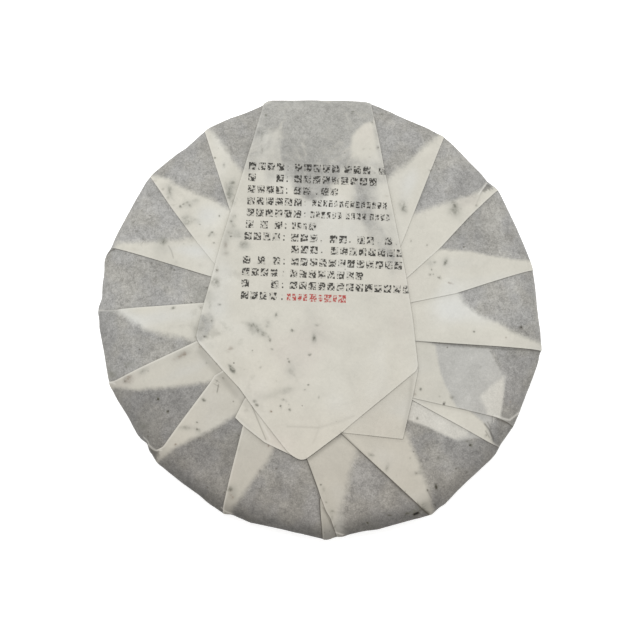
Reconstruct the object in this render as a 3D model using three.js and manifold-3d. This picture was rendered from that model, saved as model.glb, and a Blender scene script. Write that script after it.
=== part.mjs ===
// A round pressed tea cake, wrapped and shut in one sheet of thin cotton
// paper. It lies on its smooth front, with the pleated back up. The paper is
// gathered round the rim into pleats, each a panel that laps over its
// neighbour, and the last wide panel folds down over the middle as a flap.
// Millimetres, +Z up, origin under the middle of the underside.

import * as THREE from 'three';
import Module from 'manifold-3d';

// ---------------------------------------------------------------- the cake
const WIDEST_Z = 11.0;      // height of the widest line of the rim
const SHOULDER_W = 24.0;    // plan width of the upper shoulder
const SHOULDER_H = 9.2;     // rise of the upper shoulder above the widest line
const CROWN_H = 0.9;        // rise of the back face inside the shoulder
const SAG_H = 0.5;          // sag of the paper over the hidden dimple
const SAG_R = 26.0;         // radius of that sag
const FOOT_R = 62.0;        // radius of the flat that it rests on
const FOOT_POWER = 2.6;     // roundness of the lower shoulder
const TURN_UNDER = 0.16;    // how far the pleats run round the rim, over the radius
const TURN_ANGLE = 58;      // degrees of the lower shoulder that they reach

// --------------------------------------------------------------- the paper
const SHEET = 0.2;          // height that one lapped layer adds
const PACKED = 0.35;        // how far the tea lies inside the outer paper
const SLAB = 1.3;           // depth of a panel's solid into the cake
const FOLD = 1.0;           // half the width in which a wedge runs out

// Pleats: rim = bearing of the corner where the pleat starts, r = its radius,
// end = where its crease meets the flap, wedge = where the edge of the folded
// paper under it meets the flap, bow = how far that edge curves outward.
const LEFT_PLEATS = [       // each laps over the one before, clockwise
  { rim: 162.2, r: 101.4, end: [-48.4, 17.0], wedge: [-54.0, 36.5], bow: 1.0 },
  { rim: 140.4, r: 101.5, end: [-47.2, 22.7], wedge: [-40.4, 47.9], bow: 3.5 },
  { rim: 122.2, r: 101.4, end: [-40.3, 46.5], wedge: [-33.4, 63.0], bow: 1.5 },
];
const RIGHT_PLEATS = [      // each laps over the one before, anticlockwise
  { rim: 178.8, r: 101.3, end: [-51.8, 4.9], wedge: [-57.1, -12.1], bow: 1.2 },
  { rim: 197.0, r: 100.3, end: [-55.2, -12.5], wedge: [-48.7, -30.8], bow: 3.0 },
  { rim: 222.9, r: 98.9, end: [-47.1, -28.1], wedge: [-38.3, -46.3], bow: 2.6 },
  { rim: 244.7, r: 99.2, end: [-34.0, -50.0], wedge: [-20.4, -60.9], bow: 1.4 },
  { rim: 272.1, r: 100.9, end: [-5.5, -64.9], wedge: [17.0, -62.2], bow: -2.0 },
  { rim: 301.5, r: 102.4, end: [9.8, -53.7], wedge: [37.5, -55.5], bow: 1.8 },
  { rim: 321.2, r: 101.1, end: [41.5, -38.6], wedge: [42.4, -36.4], bow: 0.0 },
  { rim: 331.1, r: 101.0, end: [41.2, -36.6], wedge: [49.5, -13.4], bow: -3.0 },
  { rim: 351.1, r: 102.2, end: [43.3, -12.1], wedge: [62.0, 7.6], bow: 3.0 },
  { rim: 13.2, r: 100.1, end: [40.1, 5.1], wedge: [44.0, 27.0], bow: 4.0 },
  { rim: 35.4, r: 100.5, end: [38.8, 17.1], wedge: [34.0, 44.5], bow: 3.0 },
  { rim: 55.6, r: 101.1, end: [37.4, 33.4], wedge: [30.0, 62.0], bow: 1.0 },
];
const FLAP_LEFT_RIM = { rim: 102.6, r: 102.9 };
const FLAP_RIGHT_RIM = { rim: 77.4, r: 102.2 };

// The flap over the middle, from the rim to its tip, as distances along the
// object's long fold line (Y) with the half-edges' X at each.
const FLAP_ROWS = [         // [y, left x, right x]
  [80.6, -29.9, 26.6],
  [64.4, -34.8, 29.7],
  [48.8, -39.6, 32.8],
  [33.0, -44.2, 35.8],
  [17.0, -48.4, 38.8],
  [-2.3, -53.3, 41.7],
  [-10.3, -55.3, 42.3],
  [-25.7, -42.9, 43.2],
  [-37.5, -33.4, 28.8],
  [-49.0, -24.4, 14.6],
  [-60.0, -15.8, 0.4],
  [-65.2, -8.6, -5.6],
];
const CORNER_PIECE = [      // the turned corner under the flap, lower right
  [8.0, -47.0], [40.0, -21.0], [44.0, -24.7], [41.5, -37.9], [37.1, -56.2], [10.3, -53.3],
];
const SMALL_FLAP = [        // the small turned corner under the flap, lower left
  [-30.0, -33.5], [-33.8, -39.2], [-37.6, -46.7], [-34.3, -50.0], [-24.5, -57.7], [-12.6, -63.6], [-9.0, -58.0],
];

// -------------------------------------------------------------- the outline
const RIM = [...LEFT_PLEATS, ...RIGHT_PLEATS, FLAP_LEFT_RIM, FLAP_RIGHT_RIM]
  .map((p) => ({ a: p.rim * Math.PI / 180, r: p.r }))
  .sort((p, q) => p.a - q.a);
const TAU = 2 * Math.PI;

// Radius of the outline on a bearing: the paper is drawn straight from one
// pleat's corner to the next.
function outline(angle) {
  const a = ((angle % TAU) + TAU) % TAU;
  let i = RIM.findIndex((p) => p.a > a + 1e-12);
  if (i < 0) i = 0;
  const q = RIM[i], p = RIM[(i + RIM.length - 1) % RIM.length];
  const px = p.r * Math.cos(p.a), py = p.r * Math.sin(p.a);
  const dx = q.r * Math.cos(q.a) - px, dy = q.r * Math.sin(q.a) - py;
  const ux = Math.cos(a), uy = Math.sin(a);
  return (px * dy - py * dx) / (ux * dy - uy * dx);
}

// Radius and height of the skin at a share f of the outline: up to 1 is the
// back and the upper shoulder, above 1 the lower shoulder.
function section(f, R) {
  if (f <= 1) {
    const r = f * R, inner = R - SHOULDER_W;
    if (r >= inner) {
      const k = (r - inner) / SHOULDER_W;
      return [r, WIDEST_Z + SHOULDER_H * Math.sqrt(Math.max(0, 1 - k * k))];
    }
    const s = r / inner;
    const crown = CROWN_H * Math.min(1, 2.2 * (1 - s)) ** 1.5;
    const sag = r < SAG_R ? SAG_H * (0.5 + 0.5 * Math.cos(Math.PI * r / SAG_R)) : 0;
    return [r, WIDEST_Z + SHOULDER_H + crown - sag];
  }
  const phi = Math.min(1, (f - 1) / TURN_UNDER) * TURN_ANGLE * Math.PI / 180;
  return foot(phi, R);
}
function foot(phi, R) {
  const e = 2 / FOOT_POWER;
  return [
    FOOT_R + (R - FOOT_R) * Math.max(0, Math.cos(phi)) ** e,
    WIDEST_Z * (1 - Math.sin(phi) ** e),
  ];
}

// A point of the skin, h outside it. x, y is the place with the rim unrolled.
function skin(x, y, h) {
  const a = Math.atan2(y, x), R = outline(a), f = Math.hypot(x, y) / R;
  const step = 2e-3;
  const [r, z] = section(f, R);
  const [r0, z0] = section(Math.max(0, f - step), R);
  const [r1, z1] = section(f + step, R);
  let nr = -(z1 - z0), nz = r1 - r0;
  const n = Math.hypot(nr, nz);
  nr /= n; nz /= n;
  return [(r + nr * h) * Math.cos(a), (r + nr * h) * Math.sin(a), z + nz * h];
}

// ------------------------------------------------------------------ solids
const wasm = await Module();
wasm.setup();

function solid(points, faces) {
  return new wasm.Manifold(new wasm.Mesh({
    numProp: 3,
    vertProperties: new Float32Array(points.flat()),
    triVerts: new Uint32Array(faces.flat()),
  }));
}

// A slab over a grid of places: rows[i][j] = [x, y, height of its upper face].
function slab(rows) {
  const m = rows.length, n = rows[0].length;
  const points = [], faces = [];
  const top = (i, j) => i * n + j, under = (i, j) => m * n + i * n + j;
  for (const row of rows) for (const [x, y, h] of row) points.push(skin(x, y, h));
  for (const row of rows) for (const [x, y, h] of row) points.push(skin(x, y, Math.min(h, 0) - SLAB));
  const quad = (a, b, c, d) => faces.push([a, b, c], [a, c, d]);
  for (let i = 0; i + 1 < m; i++) {
    for (let j = 0; j + 1 < n; j++) {
      quad(top(i, j), top(i + 1, j), top(i + 1, j + 1), top(i, j + 1));
      quad(under(i, j), under(i, j + 1), under(i + 1, j + 1), under(i + 1, j));
    }
  }
  for (let i = 0; i + 1 < m; i++) {
    quad(top(i + 1, 0), top(i, 0), under(i, 0), under(i + 1, 0));
    quad(top(i, n - 1), top(i + 1, n - 1), under(i + 1, n - 1), under(i, n - 1));
  }
  for (let j = 0; j + 1 < n; j++) {
    quad(top(0, j), top(0, j + 1), under(0, j + 1), under(0, j));
    quad(top(m - 1, j + 1), top(m - 1, j), under(m - 1, j), under(m - 1, j + 1));
  }
  let body = solid(points, faces);
  if (body.volume() < 0) body = solid(points, faces.map(([a, b, c]) => [a, c, b]));
  return body;
}

const mix = (p, q, t) => [p[0] + (q[0] - p[0]) * t, p[1] + (q[1] - p[1]) * t];
const polar = (deg, r) => [r * Math.cos(deg * Math.PI / 180), r * Math.sin(deg * Math.PI / 180)];

// Stations along a pleat: first round the rim, then inward over the back.
const TURN = [1 + TURN_UNDER, 1 + 0.72 * TURN_UNDER, 1 + 0.4 * TURN_UNDER];
const INWARD = [0, 0.015, 0.045, 0.1, 0.19, 0.34, 0.6, 1];
const DIVE = -0.6;          // the panels' lower edge runs into the smooth front
const TUCK = 6.0;           // how far the panels run on under the flap
const LAP = 0.03;           // how much each panel rides higher than the one before
const FLAP_H = 1.15;        // height of the flap over the skin
const CORNER_H = 1.0;       // height of the turned corners under it

// A line from the rim inward over all stations: from the bearing at the rim to
// its end, and a little on under the flap.
function line(bearing, end, bow) {
  const R = outline(bearing), rim = [R * Math.cos(bearing), R * Math.sin(bearing)];
  const far = mix(end, [0, 0], TUCK / Math.hypot(...end));
  const dx = far[0] - rim[0], dy = far[1] - rim[1], len = Math.hypot(dx, dy);
  const out = TURN.map((f) => [rim[0] * f, rim[1] * f]);
  for (const t of INWARD) {
    const p = mix(rim, far, t), side = bow * 4 * t * (1 - t);
    out.push([p[0] - dy / len * side, p[1] + dx / len * side]);
  }
  return out;
}

// Heights run out where the paper's folds reach the smooth front.
const rise = (i, h) => (i === 0 ? DIVE : h * (i === 1 ? 0.5 : 1));

// Columns of a panel, each [bearing at the rim, inner end, bow, height].
function fan(columns) {
  const lines = columns.map(([bearing, end, bow]) => line(bearing, end, bow));
  return slab(lines[0].map((_, i) => lines.map((l, j) => [...l[i], rise(i, columns[j][3])])));
}

// One panel: three layers from its crease to the wedge's edge, one beyond it,
// up to the wedge's edge of the next panel, which laps over it.
function panel(pleat, next, turn, place) {
  const rad = (p, side) => (p.rim + turn * side / p.r * 57.2958) * Math.PI / 180;
  const lift = LAP * place, bow = turn * pleat.bow;
  const wedgeEnd = mix(pleat.wedge, pleat.end, FOLD / Math.hypot(pleat.wedge[0] - pleat.end[0], pleat.wedge[1] - pleat.end[1]));
  let full = rad(next, 0) - rad(pleat, 2.6);
  full -= TAU * Math.round(full / TAU);
  const start = rad(pleat, 2.6), hidden = next.wedge ? mix(next.end, next.wedge, 0.5) : next.under;
  const columns = [
    [rad(pleat, 0), pleat.end, 0, 3 * SHEET + lift],
    [rad(pleat, 1.0), wedgeEnd, bow, 3 * SHEET + lift],
    [start, pleat.wedge, bow, SHEET + lift],
  ];
  for (const t of [0.27, 0.54, 0.8]) {
    columns.push([start + full * t, mix(pleat.wedge, next.end, t), bow * (1 - t), SHEET + lift]);
  }
  columns.push([rad(next, 0), mix(next.end, hidden, 0.15), 0, SHEET + lift]);
  columns.push([rad(next, 1.0), hidden, 0, SHEET + lift - 0.1]);
  return fan(columns);
}

// The lowest panel, between the first pleats of the two sides.
function firstPanel(a, b) {
  const from = (a.rim - 1.0) * Math.PI / 180, to = (b.rim + 1.0) * Math.PI / 180;
  const corner = [a.rim * Math.PI / 180, b.rim * Math.PI / 180];
  const columns = [[from, mix(a.end, a.wedge, 0.25), 0, SHEET]];
  for (const t of [0, 0.5, 1]) columns.push([corner[0] + (corner[1] - corner[0]) * t, mix(a.end, b.end, t), 0, SHEET]);
  columns.push([to, mix(b.end, b.wedge, 0.25), 0, SHEET]);
  return fan(columns);
}

// A flat turned piece over the pleats, from its outline.
function patch(outlinePoints, height) {
  const n = outlinePoints.length;
  const mid = outlinePoints.reduce((s, p) => [s[0] + p[0] / n, s[1] + p[1] / n], [0, 0]);
  const places = [...outlinePoints, mid];
  const points = [...places.map(([x, y]) => skin(x, y, height)), ...places.map(([x, y]) => skin(x, y, -SLAB))];
  const faces = [];
  for (let i = 0; i < n; i++) {
    const j = (i + 1) % n, low = n + 1;
    faces.push([i, j, n], [low + j, low + i, low + n], [i, low + i, low + j], [i, low + j, j]);
  }
  let body = solid(points, faces);
  if (body.volume() < 0) body = solid(points, faces.map(([a, b, c]) => [a, c, b]));
  return body;
}

// The tea itself with its smooth front, a turned body that follows the outline.
function cake() {
  const bearings = [];
  RIM.forEach((p, i) => {
    const q = RIM[(i + 1) % RIM.length];
    const gap = ((q.a - p.a) + TAU) % TAU;
    const parts = Math.max(1, Math.round(gap / 0.11));
    for (let k = 0; k < parts; k++) bearings.push(p.a + gap * k / parts);
  });
  const back = [0.3, 0.55, 0.72, 0.8, 0.87, 0.925, 0.965, 0.99];
  const side = [1, 1 + 0.4 * TURN_UNDER, 1 + 0.72 * TURN_UNDER, 1 + TURN_UNDER];
  const lower = [70, 82, 90];
  const points = [], n = bearings.length;
  const ring = (place) => bearings.forEach((a) => points.push(place(a)));
  for (const f of back) ring((a) => skin(f * outline(a) * Math.cos(a), f * outline(a) * Math.sin(a), -PACKED));
  for (const f of side) {
    const h = f > 1 + 0.9 * TURN_UNDER ? 0 : -PACKED;
    ring((a) => skin(f * outline(a) * Math.cos(a), f * outline(a) * Math.sin(a), h));
  }
  for (const deg of lower) {
    ring((a) => {
      const [r, z] = foot(deg * Math.PI / 180, outline(a));
      const rr = deg === 90 ? FOOT_R : r;
      return [rr * Math.cos(a), rr * Math.sin(a), deg === 90 ? 0 : z];
    });
  }
  const rings = back.length + side.length + lower.length;
  const top = points.length, bottom = top + 1;
  points.push(skin(1e-6, 0, -PACKED), [0, 0, 0]);
  const faces = [];
  for (let j = 0; j < n; j++) {
    const k = (j + 1) % n;
    faces.push([top, j, k]);
    for (let i = 0; i + 1 < rings; i++) {
      const a = i * n + j, b = i * n + k, c = (i + 1) * n + k, d = (i + 1) * n + j;
      faces.push([a, d, c], [a, c, b]);
    }
    faces.push([bottom, (rings - 1) * n + k, (rings - 1) * n + j]);
  }
  return solid(points, faces);
}

// The flap: the uppermost panel, from round the rim down over the middle.
function flap() {
  const left = polar(FLAP_LEFT_RIM.rim, FLAP_LEFT_RIM.r);
  const right = polar(FLAP_RIGHT_RIM.rim, FLAP_RIGHT_RIM.r);
  const across = [0, 0.04, 0.2, 0.4, 0.6, 0.8, 0.96, 1];
  const rows = [];
  TURN.forEach((f, i) => rows.push(across.map((t) => {
    const p = mix(left, right, t);
    return [p[0] * f, p[1] * f, i === 0 ? DIVE : FLAP_H * (i === 1 ? 0.5 : 1)];
  })));
    const [y0, l0, r0] = FLAP_ROWS[0];
  for (const t of [0, 0.045, 0.14, 0.32, 0.62]) {
    const l = mix(left, [l0, y0], t), r = mix(right, [r0, y0], t);
    rows.push(across.map((u) => [...mix(l, r, u), FLAP_H]));
  }
  for (const [y, l, r] of FLAP_ROWS) rows.push(across.map((u) => [...mix([l, y], [r, y], u), FLAP_H]));
  return slab(rows);
}

// ----------------------------------------------------------------- the part
const nextLeft = { ...FLAP_LEFT_RIM, end: [-34.8, 64.4], under: [-28.0, 64.4] };
const nextRight = { ...FLAP_RIGHT_RIM, end: [30.5, 60.0], under: [24.0, 60.0] };

let body = cake().add(firstPanel(LEFT_PLEATS[0], RIGHT_PLEATS[0]));
LEFT_PLEATS.forEach((p, i) => { body = body.add(panel(p, LEFT_PLEATS[i + 1] ?? nextLeft, -1, i + 1)); });
RIGHT_PLEATS.forEach((p, i) => { body = body.add(panel(p, RIGHT_PLEATS[i + 1] ?? nextRight, 1, i + 1)); });
body = body.add(patch(SMALL_FLAP, CORNER_H)).add(patch(CORNER_PIECE, CORNER_H)).add(flap());

const joined = body.getMesh();
const shape = new THREE.BufferGeometry();
const places = new Float32Array((joined.vertProperties.length / joined.numProp) * 3);
for (let i = 0; i < places.length / 3; i++) {
  for (let k = 0; k < 3; k++) places[3 * i + k] = joined.vertProperties[i * joined.numProp + k];
}
shape.setAttribute('position', new THREE.BufferAttribute(places, 3));
shape.computeBoundingBox();
const middle = shape.boundingBox.getCenter(new THREE.Vector3());
shape.translate(-middle.x, -middle.y, 0);
shape.setIndex([...joined.triVerts]);
shape.computeVertexNormals();

const wrapped = new THREE.Mesh(shape, new THREE.MeshStandardMaterial({ color: 0xc9c6ba, roughness: 0.9, metalness: 0 }));
wrapped.name = 'wrapped_tea_cake';

const object = new THREE.Group();
object.name = 'tea_cake';
object.add(wrapped);

export default object;
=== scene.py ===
import math

import bpy
import numpy as np
from mathutils import Matrix, Vector, geometry, kdtree


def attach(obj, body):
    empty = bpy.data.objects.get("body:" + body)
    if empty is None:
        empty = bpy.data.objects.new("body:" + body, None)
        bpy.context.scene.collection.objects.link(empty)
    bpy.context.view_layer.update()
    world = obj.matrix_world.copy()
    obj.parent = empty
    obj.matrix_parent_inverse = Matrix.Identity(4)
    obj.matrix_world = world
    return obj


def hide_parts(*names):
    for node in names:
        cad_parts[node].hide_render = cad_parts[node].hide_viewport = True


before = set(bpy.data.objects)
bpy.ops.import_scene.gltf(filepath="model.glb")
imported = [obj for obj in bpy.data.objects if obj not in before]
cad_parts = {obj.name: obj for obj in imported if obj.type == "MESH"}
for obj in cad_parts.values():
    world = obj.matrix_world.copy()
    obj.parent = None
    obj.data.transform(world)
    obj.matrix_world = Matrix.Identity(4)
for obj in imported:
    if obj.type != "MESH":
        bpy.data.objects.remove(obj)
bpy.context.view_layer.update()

NODE = "wrapped_tea_cake"
MM = 0.001
TAU = 2 * math.pi

# =============================================================== sizes, in mm
WIDEST_Z = 11.0
SHOULDER_W, SHOULDER_H = 24.0, 9.2
CROWN_H, SAG_H, SAG_R = 0.9, 0.5, 26.0
FOOT_W, FOOT_POWER = 38.0, 2.6
GRID = 1.0                # spacing of the surface's points
UNDER_GRID = 2.2          # the same on the underside
WALL = 0.13               # plan width of a crease's step
NOSE = 0.40               # width over which a crease's edge rounds
OVERHANG = 0.20           # how far a crease's edge stands out over its foot

# The outline: bearing in degrees, radius. The chords run straight between the
# pleats' corners, and some corners are notched.
OUTLINE = [
    (0.0, 99.5), (5.0, 99.1), (10.0, 99.6), (13.0, 99.8), (15.5, 99.7), (19.5, 99.1), (25.5, 99.0), (35.0, 100.5),
    (37.0, 100.1), (39.0, 99.2), (41.5, 99.3), (52.5, 100.5), (55.5, 100.9), (60.5, 100.4), (67.0, 99.8), (71.5, 100.6),
    (77.5, 101.9), (78.5, 101.9), (84.0, 100.9), (90.0, 100.3), (96.0, 100.8), (102.5, 102.8), (103.5, 102.7), (105.5, 101.4),
    (109.0, 100.6), (114.0, 100.8), (120.0, 101.3), (123.0, 100.6), (128.0, 99.4), (131.0, 99.9), (139.0, 101.2), (142.0, 101.1),
    (144.5, 100.6), (149.5, 99.8), (158.5, 100.3), (161.5, 100.4), (163.5, 101.4), (165.5, 101.6), (168.0, 100.6),
    (171.5, 100.3), (175.0, 99.5), (177.5, 100.9), (179.0, 101.1), (181.0, 100.4), (183.0, 100.4), (190.5, 99.3),
    (196.5, 100.2), (198.5, 100.3), (202.5, 99.4), (207.5, 98.2), (213.5, 98.4), (215.0, 98.0), (216.5, 97.1),
    (218.5, 98.4), (222.5, 99.1), (231.0, 97.7), (236.5, 97.7), (239.5, 98.6), (244.3, 99.3), (246.0, 98.1),
    (248.5, 98.1), (251.5, 98.5), (263.5, 98.4), (271.5, 101.1), (272.5, 101.0), (274.0, 100.1), (276.0, 100.3),
    (277.5, 99.8), (282.5, 99.4), (285.5, 100.0), (291.5, 100.5), (299.3, 102.8), (302.0, 102.0), (303.5, 102.1), (312.0, 100.2),
    (320.0, 101.2), (322.0, 101.2), (324.5, 100.4), (330.5, 101.0), (333.0, 100.7), (336.5, 100.1), (345.0, 101.0),
    (348.5, 101.5), (350.0, 101.4), (351.3, 102.1), (356.0, 100.7),
]
RIM_SHEET = 0.16          # the wrapper's mean lift at the rim, within the radii above
RIM_FLAP = 0.42           # the same across the flap


# ================================================================ the outline
def chords():
    """The outline's radius every quarter of a degree, and its eased form without the notches."""
    a = np.arange(1440) * TAU / 1440
    deg = np.array([p[0] for p in OUTLINE] + [OUTLINE[0][0] + 360.0])
    rad = np.array([p[1] for p in OUTLINE] + [OUTLINE[0][1]])
    t = np.radians(deg)
    x, y = rad * np.cos(t), rad * np.sin(t)
    k = np.clip(np.searchsorted(t, a, side="right") - 1, 0, len(OUTLINE) - 1)
    ex, ey = x[k + 1] - x[k], y[k + 1] - y[k]
    r = (x[k] * ey - y[k] * ex) / (np.cos(a) * ey - np.sin(a) * ex)
    flap = 0.5 + 0.5 * np.tanh((13.2 - np.abs(np.degrees(a) - 90.0)) / 0.7)
    r = r - RIM_SHEET - (RIM_FLAP - RIM_SHEET) * flap
    f = np.fft.rfft(r)
    n = np.arange(len(f))
    sharp = np.fft.irfft(f * np.exp(-(n / 260.0) ** 2), 1440)
    eased = np.fft.irfft(f * np.exp(-(n / 34.0) ** 2), 1440)
    return a, sharp, eased


_a, _sharp, _eased = chords()


def outline(a):
    """Radius of the eased outline on each bearing."""
    return np.interp(np.mod(a, TAU), np.append(_a, TAU), np.append(_eased, _eased[0]))


def notch(a):
    """What the real outline adds to the eased one."""
    d = _sharp - _eased
    return np.interp(np.mod(a, TAU), np.append(_a, TAU), np.append(d, d[0]))


# The section, as length along the skin from the shoulder's inner line.
_t = np.linspace(0, math.pi / 2, 160)
_up = np.stack([-SHOULDER_W + SHOULDER_W * np.sin(_t), WIDEST_Z + SHOULDER_H * np.cos(_t)], 1)
_e = 2 / FOOT_POWER
_ft = np.linspace(0, 1, 240)[1:] ** 1.6 * math.pi / 2
_lo = np.stack([-FOOT_W * (1 - np.cos(_ft) ** _e), WIDEST_Z * (1 - np.sin(_ft) ** _e)], 1)
_sec = np.concatenate([_up, _lo])
_len = np.concatenate([[0], np.cumsum(np.hypot(*np.diff(_sec, axis=0).T))])
S_WIDE = float(_len[len(_t) - 1])      # the widest line
S_FOOT = float(_len[-1])               # the flat underside


def smooth(x, a, b):
    t = np.clip((x - a) / (b - a), 0, 1)
    return t * t * (3 - 2 * t)


def place(s, R, extra):
    """(r, z) at skin length s from the shoulder's inner line; s below 0 is the back face."""
    inner = R - SHOULDER_W
    rho = inner + s
    k = np.clip(rho / inner, 0, 1)
    crown = CROWN_H * np.minimum(1, 2.2 * (1 - k)) ** 1.5
    sag = np.where(rho < SAG_R, SAG_H * (0.5 + 0.5 * np.cos(math.pi * np.clip(rho, 0, SAG_R) / SAG_R)), 0)
    flat = WIDEST_Z + SHOULDER_H + crown - sag
    dr, z = np.interp(s, _len, _sec[:, 0]), np.interp(s, _len, _sec[:, 1])
    local = extra * smooth(s, S_WIDE - 13, S_WIDE - 1) * (1 - smooth(s, S_WIDE + 3, S_WIDE + 20))
    return np.where(s < 0, rho, R + dr + local), np.where(s < 0, flat, z)


def skin(q, h):
    """Points h outside the skin, for places q on the unrolled sheet."""
    a = np.arctan2(q[:, 1], q[:, 0])
    R, extra = outline(a), notch(a)
    s = np.hypot(q[:, 0], q[:, 1]) - (R - SHOULDER_W)
    r, z = place(s, R, extra)
    r0, z0 = place(s - 0.6, R, extra)
    r1, z1 = place(s + 0.6, R, extra)
    nr, nz = -(z1 - z0), r1 - r0
    n = np.hypot(nr, nz)
    r, z = r + nr / n * h, z + nz / n * h
    return np.stack([r * np.cos(a), r * np.sin(a), z], 1)


def unroll(p):
    """Places on the unrolled sheet for places in plan."""
    p = np.asarray(p, float)
    a, r = np.arctan2(p[:, 1], p[:, 0]), np.hypot(p[:, 0], p[:, 1])
    R = outline(a)
    inner = R - SHOULDER_W
    s = np.interp(np.clip(r - R, -SHOULDER_W, 0), _up[:, 0], _len[:len(_t)])
    rho = np.where(r < inner, r, inner + s)
    return np.stack([rho * np.cos(a), rho * np.sin(a)], 1)


def to_plan(q):
    """Plan places of the unrolled places, as far as the widest line."""
    a, rho = np.arctan2(q[:, 1], q[:, 0]), np.hypot(q[:, 0], q[:, 1])
    R = outline(a)
    s = rho - (R - SHOULDER_W)
    r = np.where(s < 0, rho, R + np.interp(np.clip(s, 0, S_WIDE), _len[:len(_t)], _up[:, 0]))
    r = np.where(s > S_WIDE, R + 0.25 * (s - S_WIDE), r)
    return np.stack([r * np.cos(a), r * np.sin(a)], 1)


# ================================================================== the folds
# Each pleat's crease in plan, from the rim inward, from the lowest pleat up.
# grey, cream: how light its single and its threefold paper look, the paper's own tone together with painted shade that
# mostly darkens the panels on the view's lower side, away from the key light. line, lip: how dark the painted shade
# just outside its edge is, and how bright the painted highlight just inside it. soft: blur of the threefold paper's far
# border.
PANELS = [
    dict(name="left3", side=-1, crease=[(-94.1, 31.2), (-48.4, 17.0)], grey=1.0, cream=1.0, line=0.7, lip=0.2, soft=1.8),
    dict(name="left2", side=-1, crease=[(-77.5, 64.4), (-66.6, 48.1), (-56.4, 34.3), (-47.2, 22.9)], grey=0.975, cream=1.02, line=0.3, lip=0.3, soft=1.6),
    dict(name="left1", side=-1, crease=[(-52.5, 85.0), (-40.3, 47.0)], grey=0.963, cream=1.0, line=0.26, lip=0.35, soft=1.6),
    dict(name="right1", side=1, crease=[(-100.2, 2.6), (-92.9, 2.1), (-51.8, 4.9)], grey=0.985, cream=1.0, line=0.24, lip=0.45, soft=1.8),
    dict(name="right2", side=1, crease=[(-95.4, -30.2), (-91.7, -29.6), (-55.2, -12.5)], grey=0.89, cream=0.965, line=0.16, lip=0.85, soft=1.3),
    dict(name="right3", side=1, crease=[(-77.6, -58.6), (-73.6, -61.2), (-70.0, -59.6), (-48.7, -30.8), (-47.1, -28.1)], grey=0.857, cream=0.945, line=0.16, lip=0.75, soft=1.3),
    dict(name="right4", side=1, crease=[(-43.2, -90.5), (-42.9, -85.6), (-34.0, -50.0)], grey=0.91, cream=0.925, line=0.18, lip=0.6, soft=1.6),
    dict(name="right5", side=1, crease=[(1.5, -99.4), (0.6, -88.9), (0.4, -83.0), (2.5, -78.0)], grey=0.93, cream=0.9, line=0.85, lip=0.2, soft=1.5),
    dict(name="right5b", side=1, crease=[(7.6, -98.7), (4.9, -91.1), (3.1, -88.4), (0.4, -81.2), (-0.8, -77.5), (-5.5, -64.9)], grey=0.925, cream=0.925, line=0.85, lip=0.2, soft=2.3),
    dict(name="right6", side=1, crease=[(49.8, -89.6), (46.1, -87.0), (9.8, -53.7)], grey=0.912, cream=0.95, line=0.95, lip=0.1, soft=1.6),
    dict(name="right7", side=1, crease=[(81.4, -59.6), (78.6, -58.6), (75.0, -56.9), (41.5, -38.6)], grey=0.97, cream=1.0, line=0.7, lip=0.35, soft=0.9),
    dict(name="right8", side=1, crease=[(87.6, -50.4), (84.6, -48.3), (79.4, -46.2), (41.2, -37.6)], grey=0.965, cream=0.975, line=0.75, lip=0.2, soft=0.8),
    dict(name="right9", side=1, crease=[(100.8, -15.7), (43.3, -12.1)], grey=1.0, cream=1.008, line=0.85, lip=0.35, soft=1.4),
    dict(name="right10", side=1, crease=[(97.3, 21.2), (61.3, 9.5), (40.1, 5.1)], grey=1.0, cream=1.0, line=0.5, lip=0.35, soft=0.9),
    dict(name="right11", side=1, crease=[(81.7, 58.4), (67.5, 44.4), (54.7, 30.5), (38.8, 16.1), (33.5, 11.3)], grey=0.985, cream=1.0, line=0.45, lip=0.5, soft=1.9),
    dict(name="right12", side=1, crease=[(57.0, 82.7), (38.2, 35.2), (34.2, 25.2)], grey=0.965, cream=0.99, line=0.36, lip=0.3, soft=2.0),
]
SMALL_FLAP = [(-29.0, -32.0), (-33.8, -39.2), (-37.6, -46.7), (-34.3, -50.0), (-24.5, -57.7), (-14.2, -62.6), (-11.0, -64.2), (-6.0, -58.0)]
CORNER_PIECE = [(38.0, -18.0), (44.2, -24.7), (41.5, -37.9), (37.1, -56.2), (10.3, -53.3), (6.0, -48.0)]
FLAP = [
    (-25.6, 98.3), (-25.8, 96.8), (-29.9, 80.6), (-34.7, 64.6), (-39.5, 48.8), (-44.6, 31.5), (-48.4, 17.0), (-51.8, 4.9),
    (-53.6, -2.5), (-55.3, -10.3), (-54.4, -12.8), (-42.8, -25.9), (-35.8, -33.4), (-29.1, -42.8), (-14.2, -61.9),
    (-11.6, -64.1), (-8.6, -65.5), (-6.3, -65.3), (9.8, -53.3), (13.8, -49.8), (43.2, -25.7), (44.0, -23.8),
    (41.7, -2.3), (38.8, 17.1), (35.0, 37.2), (29.7, 64.2), (23.9, 95.0), (23.6, 97.6),
]

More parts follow.
